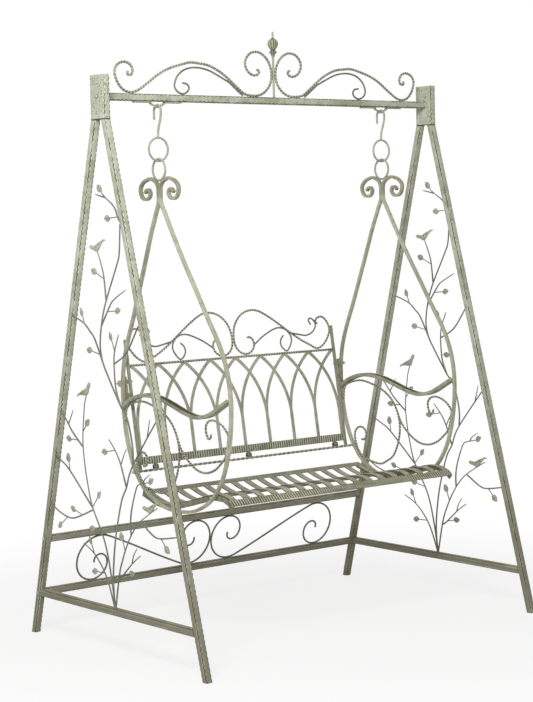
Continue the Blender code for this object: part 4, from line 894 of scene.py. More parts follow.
def crest_inner_path(crest):
    level = BEAM_TOP + GAP + CREST_THIN_ROD
    top = BEAM_TOP + CREST_RISE / 2
    low, high = [share * CREST_SPAN for share in INNER_TRACK_SHARES]
    under = beside(crest, -(CREST_ROD + CREST_THIN_ROD + 2 * GAP))
    track = [p for p in under if low + CREST_THIN_ROD < p.x < high and level < p.y < top]
    return chain([Vector((low, level)), *track], set_down(through(crest_spots(INNER_SHARES)), level))


PANEL_CURL_SHARES = {"outer": 1.0, "eye": 0.125}


def panel_path():
    low = REAR_LOWER_RAIL_TOP + GAP + PANEL_ROD
    high = REAR_UPPER_RAIL_TOP - TUBE - GAP - PANEL_ROD
    unit = curl((0, 0), PANEL_CURL_SHARES["outer"], PANEL_CURL_SHARES["eye"], *degrees(292, -200))
    size = (high - low) / (max(p.y for p in unit) - min(p.y for p in unit))
    first = set_down([p * size for p in reversed(unit)], low)
    first = shifted(first, PANEL_ROD + GAP - min(p.x for p in first), 0)
    middle = Vector((PANEL_SPAN / 2, (low + high) / 2))
    last = [2 * middle - p for p in reversed(first)]
    return chain(first, last)


def make_stand_scrolls():
    crest = crest_path()
    inner = crest_inner_path(crest)
    panel = panel_path()
    for word, side in SIDES:
        shape = Shape()
        add_twisted(shape, [in_front_plane(p) for p in mirrored(crest, side)], Y_AXIS, CREST_ROD, SOFT_TWIST)
        make_piece(word + "_crest_twist", shape, ROD_PAINT, "stand", [word + "_crest_scroll"])
        shape = Shape()
        add_rod(shape, [in_front_plane(p) for p in mirrored(inner, side)], Y_AXIS, CREST_THIN_ROD)
        make_piece(word + "_inner_crest_rod", shape, THIN_PAINT, "stand", [word + "_inner_crest_scroll"])
        shape = Shape()
        add_rod(shape, [in_rear_plane(p) for p in mirrored(panel, side)], BEHIND_REAR, PANEL_ROD)
        make_piece(word + "_rear_rod", shape, THIN_PAINT, "stand", [word + "_rear_scroll"])


FINIAL_SHARES = (
    (0.20, 0.000), (0.20, 0.580), (0.27, 0.620), (0.38, 0.645), (0.52, 0.668), (0.69, 0.680),
    (0.71, 0.691), (0.66, 0.701), (0.41, 0.711), (0.50, 0.727), (0.70, 0.752), (0.88, 0.785),
    (0.95, 0.818), (0.86, 0.850), (0.62, 0.876), (0.30, 0.893), (0.20, 0.910), (0.17, 0.950),
    (0.16, 0.985), (0.00, 1.000),
)


FINIAL_FLUTES = 12
FLUTE_DEPTH_SHARE = 0.16


def make_finial():
    """A fluted bud on its stem, with a collar under it and a knob on top; shade is painted where it is
    waisted.
    """
    base = BEAM_TOP + GAP
    profile = [(FINIAL_STEM, base, 0.1), (FINIAL_STEM, base + 0.3 * FINIAL_HEIGHT, 0.0)]
    for p in through([Vector((r, h, 0)) for r, h in FINIAL_SHARES[1:-1]], 5):
        waist = 0.9 if p.x < 0.45 and 0.70 < p.y < 0.90 else 0.0
        profile.append((max(0.0026, p.x * FINIAL_WIDTH), base + p.y * FINIAL_HEIGHT, waist))
    profile += [(0.0018, base + 0.995 * FINIAL_HEIGHT, 0.0), (0.0002, base + FINIAL_HEIGHT, 0.0)]
    shape = Shape()
    add_turned(shape, profile, lambda p: p, FINIAL_SIDES, FINIAL_FLUTES, FLUTE_DEPTH_SHARE)
    make_piece("bud_finial", shape, ROD_PAINT, "stand", ["finial"])


# Branches, leaves and birds

BRANCH_SHARES = (
    ((-0.035, 0.087), (-0.021, 0.121), (-0.022, 0.159), (-0.049, 0.212), (-0.088, 0.255), (-0.142, 0.299),
     (-0.198, 0.324), (-0.229, 0.346), (-0.283, 0.369), (-0.422, 0.415), ("front", 0.451)),
    ((-0.269, 0.367), (-0.279, 0.395), (-0.257, 0.427), (-0.218, 0.456), (-0.152, 0.476), (-0.020, 0.529),
     (0.032, 0.554), (0.053, 0.584), (0.029, 0.624), (-0.025, 0.664), (-0.155, 0.730), (-0.191, 0.754),
     ("front", 0.808)),
    ((-0.035, 0.087), (0.028, 0.131), (0.071, 0.152), (0.131, 0.172), (0.208, 0.189), (0.316, 0.203)),
    ((-0.035, 0.087), (-0.000, 0.146), (0.065, 0.212), (0.199, 0.276), (0.243, 0.314), (0.275, 0.356),
     (0.289, 0.401), (0.265, 0.456), (0.250, 0.475), (0.230, 0.488)),
    ((0.192, 0.273), (0.455, 0.338), (0.566, 0.356), ("rear", 0.363)),
    ((-0.035, 0.087), (-0.090, 0.157), (-0.132, 0.187), (-0.178, 0.212), (-0.238, 0.237), (-0.308, 0.258),
     (-0.378, 0.272), (-0.530, 0.296)),
    ((-0.343, 0.265), (-0.468, 0.245), (-0.548, 0.241), ("front", 0.249)),
    ((-0.232, 0.236), (-0.232, 0.260), (-0.251, 0.287), (-0.308, 0.326), (-0.348, 0.334), (-0.446, 0.340)),
    ((-0.083, 0.150), (-0.127, 0.157), (-0.240, 0.184), (-0.333, 0.202)),
    ((0.013, 0.541), (0.111, 0.593), (0.166, 0.608), (0.222, 0.621), (0.286, 0.629), ("rear", 0.636)),
    ((-0.154, 0.474), (-0.124, 0.494), (-0.105, 0.514), (-0.098, 0.553), (-0.111, 0.576), (-0.158, 0.605)),
    ((-0.097, 0.550), (-0.241, 0.573), ("front", 0.623)),
    ((-0.027, 0.667), (-0.012, 0.709), (0.010, 0.730), (0.055, 0.759)),
    ((0.032, 0.619), (-0.078, 0.660), (-0.130, 0.671), (-0.246, 0.687)),
    ((0.203, 0.268), (0.397, 0.249), (0.500, 0.247), (0.616, 0.256), ("rear", 0.269)),
    ((0.287, 0.387), (0.403, 0.412), (0.453, 0.427), ("rear", 0.452)),
    ((-0.195, 0.324), (-0.139, 0.365), (-0.087, 0.388), (-0.013, 0.409)),
)
TWIG_SHARES = (
    ((0.453, 0.428), (0.393, 0.456)),
    ((-0.146, 0.364), (-0.170, 0.379), (-0.210, 0.396)),
    ((-0.437, 0.421), (-0.473, 0.455)),
    ((-0.233, 0.183), (-0.257, 0.200), (-0.296, 0.214)),
    ((-0.378, 0.338), (-0.407, 0.346), (-0.462, 0.355)),
)
LEAF_SHARES = (
    ((0.076, 0.154), (0.193, 0.153)), ((0.186, 0.188), (0.232, 0.211)),
    ((0.092, 0.226), (0.207, 0.234)), ((0.192, 0.276), (0.116, 0.301)),
    ((0.455, 0.338), (0.468, 0.363)), ((0.321, 0.256), (0.429, 0.265)),
    ((0.500, 0.247), (0.593, 0.228)), ((0.351, 0.396), (0.455, 0.400)),
    ((0.280, 0.416), (0.228, 0.435)), ((-0.077, 0.389), (0.039, 0.384)),
    ((-0.164, 0.204), (-0.128, 0.230)), ((-0.558, 0.241), (-0.621, 0.223)),
    ((-0.141, 0.158), (-0.234, 0.165)), ((-0.446, 0.340), (-0.468, 0.343)),
    ((-0.105, 0.514), (-0.159, 0.515)), ((-0.109, 0.574), (-0.069, 0.601)),
    ((0.062, 0.565), (0.177, 0.573)), ((0.227, 0.622), (0.257, 0.644)),
    ((-0.001, 0.706), (0.100, 0.721)), ((-0.041, 0.646), (-0.157, 0.649)),
)
BIRD_SHARES = (((0.23, 0.488), FRONT, 0.8), ((-0.455, 0.285), REAR, 0.0), ((0.055, 0.759), REAR, 0.0))
TOP_BRANCH_SHARES = (
    (("front", 0.812), (-0.182, 0.822), (-0.165, 0.833), (-0.126, 0.844), (-0.057, 0.856), (-0.015, 0.865)),
    ((-0.054, 0.856), (0.059, 0.863)),
)
TOP_LEAF_SHARES = (
    ((-0.015, 0.865), (0.011, 0.874)), ((-0.176, 0.819), (-0.069, 0.818)),
)

# A bird's body in shares of its length: place along, height of its middle, half height, and half thickness
BIRD_STATION_SHARES = (
    (-0.60, 0.430, 0.020, 0.12), (-0.46, 0.425, 0.050, 0.26), (-0.31, 0.330, 0.075, 0.40),
    (-0.16, 0.230, 0.130, 0.72), (-0.04, 0.145, 0.165, 0.95), (0.08, 0.100, 0.145, 1.00),
    (0.20, 0.105, 0.100, 0.88), (0.30, 0.120, 0.085, 0.72), (0.40, 0.140, 0.092, 0.74),
    (0.48, 0.152, 0.080, 0.62), (0.54, 0.158, 0.036, 0.28), (0.60, 0.152, 0.006, 0.06),
)
BIRD_SIDES = 16
BIRD_LEG_SHARES = (-0.02, 0.10)
BIRD_LEG_ROD = 0.0014

# A leaf's rows along and across it, half its sheet, its midrib, side veins, cup, bow and lean, and how far
# its stalk reaches into it
LEAF_LENGTHS = 12
LEAF_WIDTHS = 8
HALF_LEAF_SHEET = 0.0006
MIDRIB = 0.0007
SIDE_VEIN = 0.00028
LEAF_CUP = 0.0016
LEAF_BOW = 0.0012
STALK_SHARE = 0.42


def tree_spot(shares):
    """A spot in a side frame; "front" and "rear" stand for the inner face of a leg."""
    across, up = shares
    z = up * LEG_TOP
    face = leg_outer_y(z) - LEG_ACROSS + TUBE * 0.02
    return Vector(({"front": -face, "rear": face}.get(across) or across * HALF_DEPTH, z))


def add_leaf(shape, stem, centre, x, lean):
    """A pressed leaf: a cupped blade on its stalk, with a midrib and side veins."""
    along = (centre - stem).normalized()
    across = Vector((-along.y, along.x))
    rings = []
    for k in range(LEAF_LENGTHS + 1):
        a = k / LEAF_LENGTHS
        at_end = k in (0, LEAF_LENGTHS)
        half = 0.0004 + (0.0 if at_end else LEAF_WIDTH / 2 * math.sin(math.pi * a**0.85) ** 0.75)
        front = []
        back = []
        for j in range(LEAF_WIDTHS + 1):
            b = 2 * j / LEAF_WIDTHS - 1
            vein = abs(math.sin((a * 9 - abs(b) * 2.4) * math.pi)) < 0.35
            rib = MIDRIB * (1 - min(1.0, abs(b) * 5)) + (SIDE_VEIN if vein else 0.0)
            cup = LEAF_CUP * (1 - b * b) + LEAF_BOW * (math.sin(a * math.pi) + lean * b)
            # Painted shade along the midrib and side veins, a faint painted highlight on the blade, and brown
            # wear on its rim.
            painted_shade = 0.55 if (abs(b) < 0.12 or vein) and abs(b) < 0.9 else 0.0
            wear_and_highlight = 1.1 if abs(b) > 0.99 or at_end else -0.1
            flat = centre + along * ((a - 0.5) * LEAF_LENGTH) + across * (b * half)
            front.append(shape.add(in_side_plane(flat, x - cup - rib - HALF_LEAF_SHEET), wear_and_highlight, painted_shade))
            back.append(shape.add(in_side_plane(flat, x - cup + HALF_LEAF_SHEET), wear_and_highlight, 0.1))
        rings.append(front + list(reversed(back)))
    shape.skin(rings)


def add_bird(shape, feet, look, lean, x):
    """A small plump bird in relief, leaning back about its feet, with side wings and a raised tail."""
    stations = through([Vector(row[:3]) for row in BIRD_STATION_SHARES], BIRD_CURVE_STEPS)
    widths = through([Vector((row[0], row[3], 0)) for row in BIRD_STATION_SHARES], BIRD_CURVE_STEPS)
    turn = Matrix.Rotation(lean, 2)

    def spot_of(ahead, up):
        ahead, up = turn @ Vector((ahead, up))
        return feet + Vector((look * ahead, up)) * BIRD_LENGTH

    rings = []
    for spot, wide in zip(stations, widths):
        feather = 0.5 + 0.5 * math.sin(spot.x * 110)
        rows = []
        for j in range(BIRD_SIDES):
            angle = math.tau * j / BIRD_SIDES
            up = math.sin(angle)
            out = math.cos(angle)
            wing = max(0.0, 1 - abs(spot.x + 0.10) / 0.30) * max(0.0, 1 - abs(up - 0.25) * 1.8)
            lift = wing * 0.12 if abs(out) > 0.3 else 0.0
            flat = spot_of(spot.x, spot.y + up * max(0.004, spot.z))
            reach = BIRD_THICKNESS / 2 * max(0.04, wide.y) * out * (1 + lift)
            # Painted shade in stripes over the wings, for their feathers.
            painted_shade = 0.7 * feather * min(1.0, wing * 2)
            rows.append((in_side_plane(flat, x + reach), 0.3 + 0.3 * wing, painted_shade))
        rings.append(shape.ring(rows))
    shape.skin(rings)
    for leg in BIRD_LEG_SHARES:
        line = side_line([spot_of(leg, -0.04), spot_of(leg + 0.02, 0.05)], x)
        add_rod(shape, line, X_AXIS, BIRD_LEG_ROD, sides=6, spacing=FINE_SPACING)


def make_tree(word, side, branches, twigs, leaves, birds, label, node):
    """Branches that each start on an earlier one, with stalks, leaves and birds."""
    x = side * TREE_X
    grown = []
    rods = Shape()
    for rows, radius in ((branches, BRANCH_ROD), (twigs, TWIG_ROD)):
        for row in rows:
            points = [tree_spot(shares) for shares in row]
            if grown:
                points[0] = nearest_spot(points[0], grown)
            grown.append(through(points, BRANCH_CURVE_STEPS))
            taper = (1.05, 0.85 if row[-1][0] in ("front", "rear") else 0.62)
            add_rod(rods, side_line(grown[-1], x), X_AXIS, radius, False, taper, TWIG_SIDES, BAR_SPACING)
    blades = Shape()
    for k, (stem, blade) in enumerate(leaves):
        foot = nearest_spot(tree_spot(stem), grown)
        centre = tree_spot(blade)
        base = centre - (centre - foot).normalized() * LEAF_LENGTH * STALK_SHARE
        stalk = side_line([foot, base], x)
        add_rod(rods, stalk, X_AXIS, TWIG_ROD * 0.8, sides=TWIG_SIDES, spacing=BAR_SPACING)
        add_leaf(blades, foot, centre, x, 1 if k % 2 else -1)
    make_piece(f"{word}_{label}_rods", rods, THIN_PAINT, "stand", [node])
    make_piece(f"{word}_{label}_leaves", blades, LEAF_PAINT, "stand", [], 40)
    if birds:
        flock = Shape()
        for feet, look, lean in birds:
            add_bird(flock, tree_spot(feet), look, lean, x)
        make_piece(f"{word}_{label}_birds", flock, LEAF_PAINT, "stand", [], 60)


# Hangers


PAD_STEPS = 12


def ring_points(radius, centre_z):
    turns = [math.tau * k / RING_STEPS for k in range(RING_STEPS)]
    return [Vector((radius * math.cos(turn), centre_z + radius * math.sin(turn))) for turn in turns]


def make_hanger(word, side):
    """The pads and the V loop under the beam, the hook with its welded ring, and the seat's ring."""
    x = side * HANGER_X
    top = BEAM_TOP - TUBE - GAP
    shape = Shape()
    for end in (-1, 1):
        near = x + end * PAD_SPREAD / 2
        line = [Vector((near + end * PAD_LENGTH * k / PAD_STEPS, 0, top - PAD_THICKNESS / 2))
                for k in range(PAD_STEPS + 1)]
        add_bar(shape, line, Y_AXIS, PAD_WIDTH, PAD_THICKNESS, PAD_EASED)
    bend = arc((0, LOOP_Z + LOOP_BEND), LOOP_BEND, *degrees(240, 300))
    half = PAD_SPREAD / 2 + LOOP_ROD
    ends = [Vector((reach, top - LOOP_ROD * 1.1)) for reach in (-half, half)]
    add_rod(shape, front_line([ends[0], *bend, ends[1]], x), Y_AXIS, LOOP_ROD)
    make_piece(word + "_hanger_loop", shape, BACK_PAINT, "stand", [word + "_hanger_bracket"])

    centre_z = HOOK_TOP_Z - HOOK_BEND
    bend = arc((0, centre_z), HOOK_BEND, *degrees(0, 180))
    tail = Vector((HOOK_BEND, centre_z - HOOK_TAIL))
    foot_z = UPPER_RING_Z + UPPER_RING
    foot = [Vector((0, foot_z + RING_ROD + HOOK_ROD)), Vector((0, foot_z))]
    shape = Shape()
    line = side_line(chain([tail, *bend], foot), x)
    add_rod(shape, line, X_AXIS, HOOK_ROD, sides=FINE_SIDES, spacing=FINE_SPACING)
    ring = front_line(ring_points(UPPER_RING, UPPER_RING_Z), x)
    add_rod(shape, ring, Y_AXIS, RING_ROD, closed=True, sides=FINE_SIDES)
    make_piece(word + "_hook_and_ring", shape, BACK_PAINT, word + "_hook", [word + "_hook"])
    shape = Shape()
    ring = side_line(ring_points(LOWER_RING, LOWER_RING_Z), x)
    add_rod(shape, ring, X_AXIS, RING_ROD, closed=True, sides=FINE_SIDES)
    make_piece(word + "_seat_ring", shape, BACK_PAINT, "seat", [word + "_lower_ring"])


# Hoops and arms

HOOP_SHARES = (
    (0.0, 0.0, 1.0), (0.30, 0.010, 1.0), (0.55, 0.041, 1.0), (0.72, 0.083, 1.0), (0.86, 0.147, 1.0),
    (0.96, 0.240, 1.0), (1.0, 0.353, 1.0), (0.965, 0.451, 0.96), (0.86, 0.535, 0.90), (0.70, 0.618, 0.73),
    (0.537, 0.706, 0.53), (0.370, 0.795, 0.32), (0.205, 0.888, 0.12), (0.075, 0.960, 0.04),
)
HORN_SHARES = (
    (0.555, 0.0), (0.80, -0.077), (0.96, -0.21), (1.0, -0.345), (0.95, -0.50), (0.85, -0.592),
    (0.70, -0.618), (0.55, -0.573), (0.478, -0.455), (0.51, -0.36), (0.59, -0.32), (0.69, -0.355),
    (0.745, -0.427),
)


HORN_END_ANGLE = math.radians(112)
HOOP_BITE = 0.001


def horn(facing):
    """One end of a hoop: from its waist over to the ring, and down and round into its scroll."""
    contact = math.atan2(LOWER_RING_Z - HORN_Z, -HORN_Y)
    centre = Vector((HORN_Y, HORN_Z))
    over = arc(centre, HORN_BEND, math.pi, contact) + arc(centre, HORN_BEND, contact, HORN_END_ANGLE)[1:]
    top = Vector((0, HORN_Z + HORN_BEND + HORN_LIFT))
    outer = through([top + Vector(spot) * HORN_SPREAD for spot in HORN_SHARES])
    points = chain([Vector((HALF_WAIST, WAIST_Z)), *over], outer)
    return [Vector((facing * p.x, p.y)) for p in points]


def hoop_side(facing):
    height = WAIST_Z - HOOP_BOTTOM
    return [Vector((HOOP_MIDDLE * middle + facing * out * HOOP_HALF_DEPTH, HOOP_BOTTOM + up * height))
            for out, up, middle in HOOP_SHARES]


def hoop_path():
    lower = through(list(reversed(hoop_side(REAR))) + hoop_side(FRONT)[1:])
    return chain(list(reversed(horn(REAR))), lower, horn(FRONT))


def hoop_spot(facing, height):
    reach = Vector((facing * 2 * HOOP_HALF_DEPTH, height))
    return crossing([Vector((HOOP_MIDDLE, height)), reach], through(hoop_side(facing)))


def past_hoop(facing, height):
    return hoop_spot(facing, height) + Vector((facing * (HOOP_THICKNESS / 2 - HOOP_BITE), 0))


def hoop_stretch(facing, low, high):
    between = [p for p in through(hoop_side(facing)) if low < p.y < high]
    return [hoop_spot(facing, low), *between, hoop_spot(facing, high)]


def back_origin():
    y, z = hoop_spot(REAR, BACK_BOLT_HEIGHT)
    return Vector((0, y, z))


ARM_SHARES = (
    (0.83, 0.60), (0.57, 0.96), (0.28, 0.88), (0.04, 0.56), (-0.19, 0.20), (-0.41, 0.0),
    (-0.63, 0.20), (-0.84, 0.74),
)
ARM_END_SHARES = ((REAR, -0.10), (FRONT, 1.32))
ARM_OVERRUN = 0.015
ARM_HEIGHTS = (0.70, 0.95)


def arm_line():
    """The armrest between the inner faces of its hoop."""
    middle = [(HOOP_MIDDLE + a * HOOP_HALF_DEPTH, ARM_LOW + b * ARM_RISE) for a, b in ARM_SHARES]
    ends = []
    for facing, share in ARM_END_SHARES:
        spot = hoop_spot(facing, ARM_LOW + share * ARM_RISE)
        ends.append(spot + Vector((facing * ARM_OVERRUN, 0)))
    line = through([ends[0], *middle, ends[1]], ARM_CURVE_STEPS)
    inner = {facing: beside(hoop_stretch(facing, *ARM_HEIGHTS), facing * (HOOP_THICKNESS / 2 + GAP))
             for facing in (FRONT, REAR)}
    third = len(line) // 3
    first = crossing(line[:third], inner[REAR])
    last = crossing(line[-third:], inner[FRONT])
    return [first, *[p for p in line if last.x < p.x < first.x], last]


def make_armrest(word, side):
    """A rolled trough: two rounded lips with a floor between them; shade is painted along the floor and
    highlights on the lips.
    """
    a = ARM_WIDTH / 2
    b = ARM_HEIGHT / 2
    lip = a - ARM_LIP
    floor = ARM_GROOVE - b
    rows = [
        (-a, -b + 0.002, 0.5, 0), (-a + 0.0012, -b + 0.0004, 0.9, 0), (-a + 0.0026, -b, -0.5, 0),
        (-lip - 0.001, -b + 0.0008, 0.3, 0.3), (-lip, floor - 0.0012, 0.4, 1.0),
        (-lip + 0.0024, floor, 0.2, 1.0), (0, floor + 0.0005, 0.25, 0.78), (lip - 0.0024, floor, 0.2, 1.0),
        (lip, floor - 0.0012, 0.4, 1.0), (lip + 0.001, -b + 0.0008, 0.7, 0.1), (a - 0.0026, -b, -0.5, 0),
        (a - 0.0012, -b + 0.0004, 0.9, 0), (a, -b + 0.002, 0.5, 0), (a, b - 0.002, 0.5, 0),
        (a - 0.002, b, 0.7, 0), (0, b, 0.2, 0.1), (-a + 0.002, b, 0.7, 0), (-a, b - 0.002, 0.5, 0),
    ]
    shape = Shape()
    line = evenly(side_line(arm_line(), side * HANGER_X), BAR_SPACING)
    add_section(shape, line, X_AXIS, rows, ARM_GRAIN)
    make_piece(word + "_arm_trough", shape, SEAT_PAINT, "seat", [word + "_armrest"], 35)


REAR_START_SHARE = 0.87
REAR_SCROLL_SHARES = (
    (0.93, 1.01), (0.82, 1.07), (0.63, 1.10), (0.445, 1.073), (0.222, 1.0), (0.053, 0.88),
    (-0.044, 0.70), (-0.044, 0.50), (0.06, 0.28), (0.24, 0.175),
)
REAR_TOUCH_SHARES = (0.144, 0.263)
REAR_CURL_SHARES = {"out": 0.626, "up": 0.455, "outer": 0.138, "eye": 0.040}
FRONT_CURL_SHARES = (
    (-0.640, 0.845), (-0.628, 0.805), (-0.588, 0.795), (-0.552, 0.850), (-0.549, 0.915), (-0.591, 0.965),
    (-0.665, 0.985), (-0.749, 0.975), (-0.846, 0.938), (-0.911, 0.885),
)
FRONT_TOUCH_SHARES = (0.690, 0.818)
FRONT_SCROLL_SHARES = (
    (-0.83, 0.58), (-0.70, 0.49), (-0.54, 0.443), (-0.37, 0.46), (-0.20, 0.55), (-0.08, 0.66),
)


def arm_scroll_spot(out, up):
    return Vector((HOOP_MIDDLE + out * HOOP_HALF_DEPTH, HOOP_BOTTOM + up * (ARM_LOW - HOOP_BOTTOM)))


def inside_hoop(facing, shares):
    low, high = [HOOP_BOTTOM + share * (ARM_LOW - HOOP_BOTTOM) for share in shares]
    return beside(hoop_stretch(facing, low, high), facing * (HOOP_THICKNESS / 2 + GAP + ARM_ROD))


def rear_scroll_line():
    start = past_hoop(REAR, arm_scroll_spot(1, REAR_START_SHARE).y) - Vector((HOOP_THICKNESS, 0))
    upper = through([start] + [arm_scroll_spot(out, up) for out, up in REAR_SCROLL_SHARES])
    shares = REAR_CURL_SHARES
    outer = shares["outer"] * HOOP_HALF_DEPTH
    eye = shares["eye"] * HOOP_HALF_DEPTH
    last = curl(arm_scroll_spot(shares["out"], shares["up"]), outer, eye, *degrees(-15, 290))
    return chain(upper, inside_hoop(REAR, REAR_TOUCH_SHARES), last)


def front_scroll_line(rear_line):
    first = through([arm_scroll_spot(out, up) for out, up in FRONT_CURL_SHARES])
    touch = inside_hoop(FRONT, FRONT_TOUCH_SHARES)
    spots = [arm_scroll_spot(out, up) for out, up in FRONT_SCROLL_SHARES]
    end = nearest_spot(spots[-1] + (spots[-1] - spots[-2]), [rear_line])
    return chain(first, list(reversed(touch)), through([*spots, end]))


HORN_SHADE = 0.36


def horn_shade(point):
    """Painted shade: the scrolled horns are drawn a little darker than the hoop under them."""
    return HORN_SHADE * min(1.0, max(0.0, (point.z - WAIST_Z + HOOP_WIDTH) / WAIST_LENGTH))


def make_hoop(word, side):
    shape = Shape()
    line = side_line(hoop_path(), side * HANGER_X)
    add_bar(shape, line, X_AXIS, HOOP_WIDTH, HOOP_THICKNESS, HOOP_EASED, HOOP_SPACING, horn_shade)
    make_piece(word + "_hoop_bar", shape, HOOP_PAINT, "seat", [word + "_hoop"], 35)


def make_arm_scroll(word, side):
    rear = rear_scroll_line()
    shape = Shape()
    for line in (rear, front_scroll_line(rear)):
        add_twisted(shape, side_line(line, side * HANGER_X), X_AXIS, ARM_ROD)
    make_piece(word + "_arm_twist", shape, ROD_PAINT, "seat", [word + "_arm_scroll"])


# Seat

SEAT_SHARES = (
    (0.0, 0.54), (0.05, 0.41), (0.15, 0.14), (0.26, 0.0), (0.38, 0.13), (0.54, 0.45),
    (0.68, 0.76), (0.80, 0.98), (0.90, 0.97), (0.96, 0.78), (1.0, 0.50),
)


def seat_profile():
    depth = SEAT_FRONT - SEAT_REAR
    rise = SEAT_HIGH - SEAT_LOW
    return [Vector((SEAT_REAR + a * depth, SEAT_LOW + b * rise)) for a, b in SEAT_SHARES]


def seat_line():
    """The sheet's upper face from the rear edge to the front one, in small steps."""
    return evenly(through(seat_profile(), FINE_CURVE_STEPS), ROD_SPACING)


def out_of_sheet(line, k):
    """The direction up out of the sheet at one point of its line."""
    along = (line[min(k + 1, len(line) - 1)] - line[max(k - 1, 0)]).normalized()
    up = Vector((along.y, -along.x))
    return -up if up.y < 0 else up


def add_ribbed_band(shape, line, half):
    """A band across the seat, pressed into ribs that run along its line."""
    columns = RIB_COLUMNS * round(2 * half / RIB_PITCH)
    rings = []
    for k, point in enumerate(line):
        up = out_of_sheet(line, k)
        fade = min(1.0, (min(k, len(line) - 1 - k) + 1) / 2)
        top = []
        under = []
        for j in range(columns + 1):
            x = -half + 2 * half * j / columns
            wave = math.cos(math.tau * j / RIB_COLUMNS)
            rise = RIB_DEPTH * wave * fade
            rub = 0.5 + noise.noise(Vector((x * 9, k * 0.4, 2.0)))
            upper = in_side_plane(point + up * (rise - RIB_DEPTH * 0.2), x)
            lower = in_side_plane(point + up * (rise * 0.5 - SEAT_SHEET), x)
            # Painted highlight on the rib crests and painted shade in the hollows between them.
            top.append(shape.add(upper, -1.2 * max(0.0, wave) * rub, min(1.0, 1.5 * max(0.0, -wave))))
            under.append(shape.add(lower, 0.2, 0.3))
        rings.append(top + list(reversed(under)))
    shape.skin(rings)


REAR_BAND_SHARE = 0.052
REAR_BAND_EXTRA = 0.0015
FRONT_BAND_SHARE = 0.955

# A slat's section, its upper face first: share of its width, lift, wear and highlight, and painted shade. The
# crown gets a painted highlight and the edges painted shade.
SLAT_ROWS = (
    (-0.5, -0.0022, 0.9, 0.9), (-0.46, -0.0006, 1.0, 0.6), (-0.36, 0.0, 0.2, 0.0), (-0.2, 0.0004, -0.4, 0.0),
    (0.0, 0.0005, -0.2, 0.0), (0.2, 0.0004, -0.4, 0.0), (0.36, 0.0, 0.2, 0.0), (0.46, -0.0006, 1.0, 0.6),
    (0.5, -0.0022, 0.9, 0.9), (0.42, -0.0032, 0.4, 0.4), (0.0, -SEAT_SHEET, 0.2, 0.4),
    (-0.42, -0.0032, 0.4, 0.4),
)


def slat_shade(n, last):
    """A slat's ends are darker: 0.45 at one point from either end, fading out over three points."""
    return 0.45 * max(0.0, 1 - abs(n - 1) / 3) + 0.45 * max(0.0, 1 - abs(last - 1 - n) / 3)


def make_seat_panel():
    """Crowned slats between two ribbed bands, rising over a rolled front edge."""
    line = seat_line()
    reach = SEAT_REAR - SEAT_FRONT
    rear_band = [p for p in line if SEAT_REAR - p.x < REAR_BAND_SHARE * reach + REAR_BAND_EXTRA]
    front_band = [p for p in line if SEAT_REAR - p.x > FRONT_BAND_SHARE * reach]
    half = HOOP_INNER_X - GAP
    shape = Shape()
    add_ribbed_band(shape, rear_band, half)
    add_ribbed_band(shape, front_band, half)
    slat = line[len(rear_band) - 2 : len(line) - len(front_band) + 2]
    pitch = (2 * half - SLAT_WIDTH) / (SLAT_COUNT - 1)
    for k in range(SLAT_COUNT):
        middle = k * pitch - half + SLAT_WIDTH / 2
        rings = []
        for n, point in enumerate(slat):
            up = out_of_sheet(slat, n)
            shade = slat_shade(n, len(slat) - 1)
            rub = max(0.0, 0.75 + 0.95 * noise.noise(Vector((middle * 5, point.x * 14, k * 1.7))))
            rows = []
            for share, lift, wear, painted_shade in SLAT_ROWS:
                place = in_side_plane(point + up * lift, middle + share * SLAT_WIDTH)
                rows.append((place, wear * rub, min(1.0, painted_shade + shade)))
            rings.append(shape.ring(rows))
        shape.skin(rings)
    make_piece("seat_slats", shape, SEAT_PAINT, "seat", ["seat_panel"], 40)


# Backrest


def back_line(points):
    return [in_back_plane(p) for p in points]


BACK_CURL_SHARES = {"outer": 0.36, "eye": 0.06}
BACK_ARCH_SHARES = {"height": 0.42, "bend": 0.56}
BACK_END_SHARES = (
    (0.763, 0.145), (0.838, 0.053), (0.919, 0.150), (0.983, 0.382), (0.981, 0.570), (0.940, 0.720),
    (0.889, 0.737), (0.853, 0.665), (0.868, 0.587),
)
BACK_MIDDLE_SHARES = (
    (0.200, 0.225), (0.304, 0.405), (0.435, 0.549), (0.522, 0.526), (0.576, 0.387), (0.580, 0.231),
    (0.525, 0.045), (0.473, 0.162), (0.475, 0.295), (0.507, 0.387),
)
BACK_SMALL_SHARES = (
    (0.591, 0.453), (0.676, 0.376), (0.749, 0.353), (0.819, 0.431), (0.851, 0.561), (0.834, 0.671),
    (0.805, 0.720), (0.783, 0.676), (0.803, 0.572),
)


def back_spots(rows):
    return [Vector((x * POST_INNER_X, TOP_ROD_ABOVE_BOLT + height * BACK_CREST_RISE)) for x, height in rows]


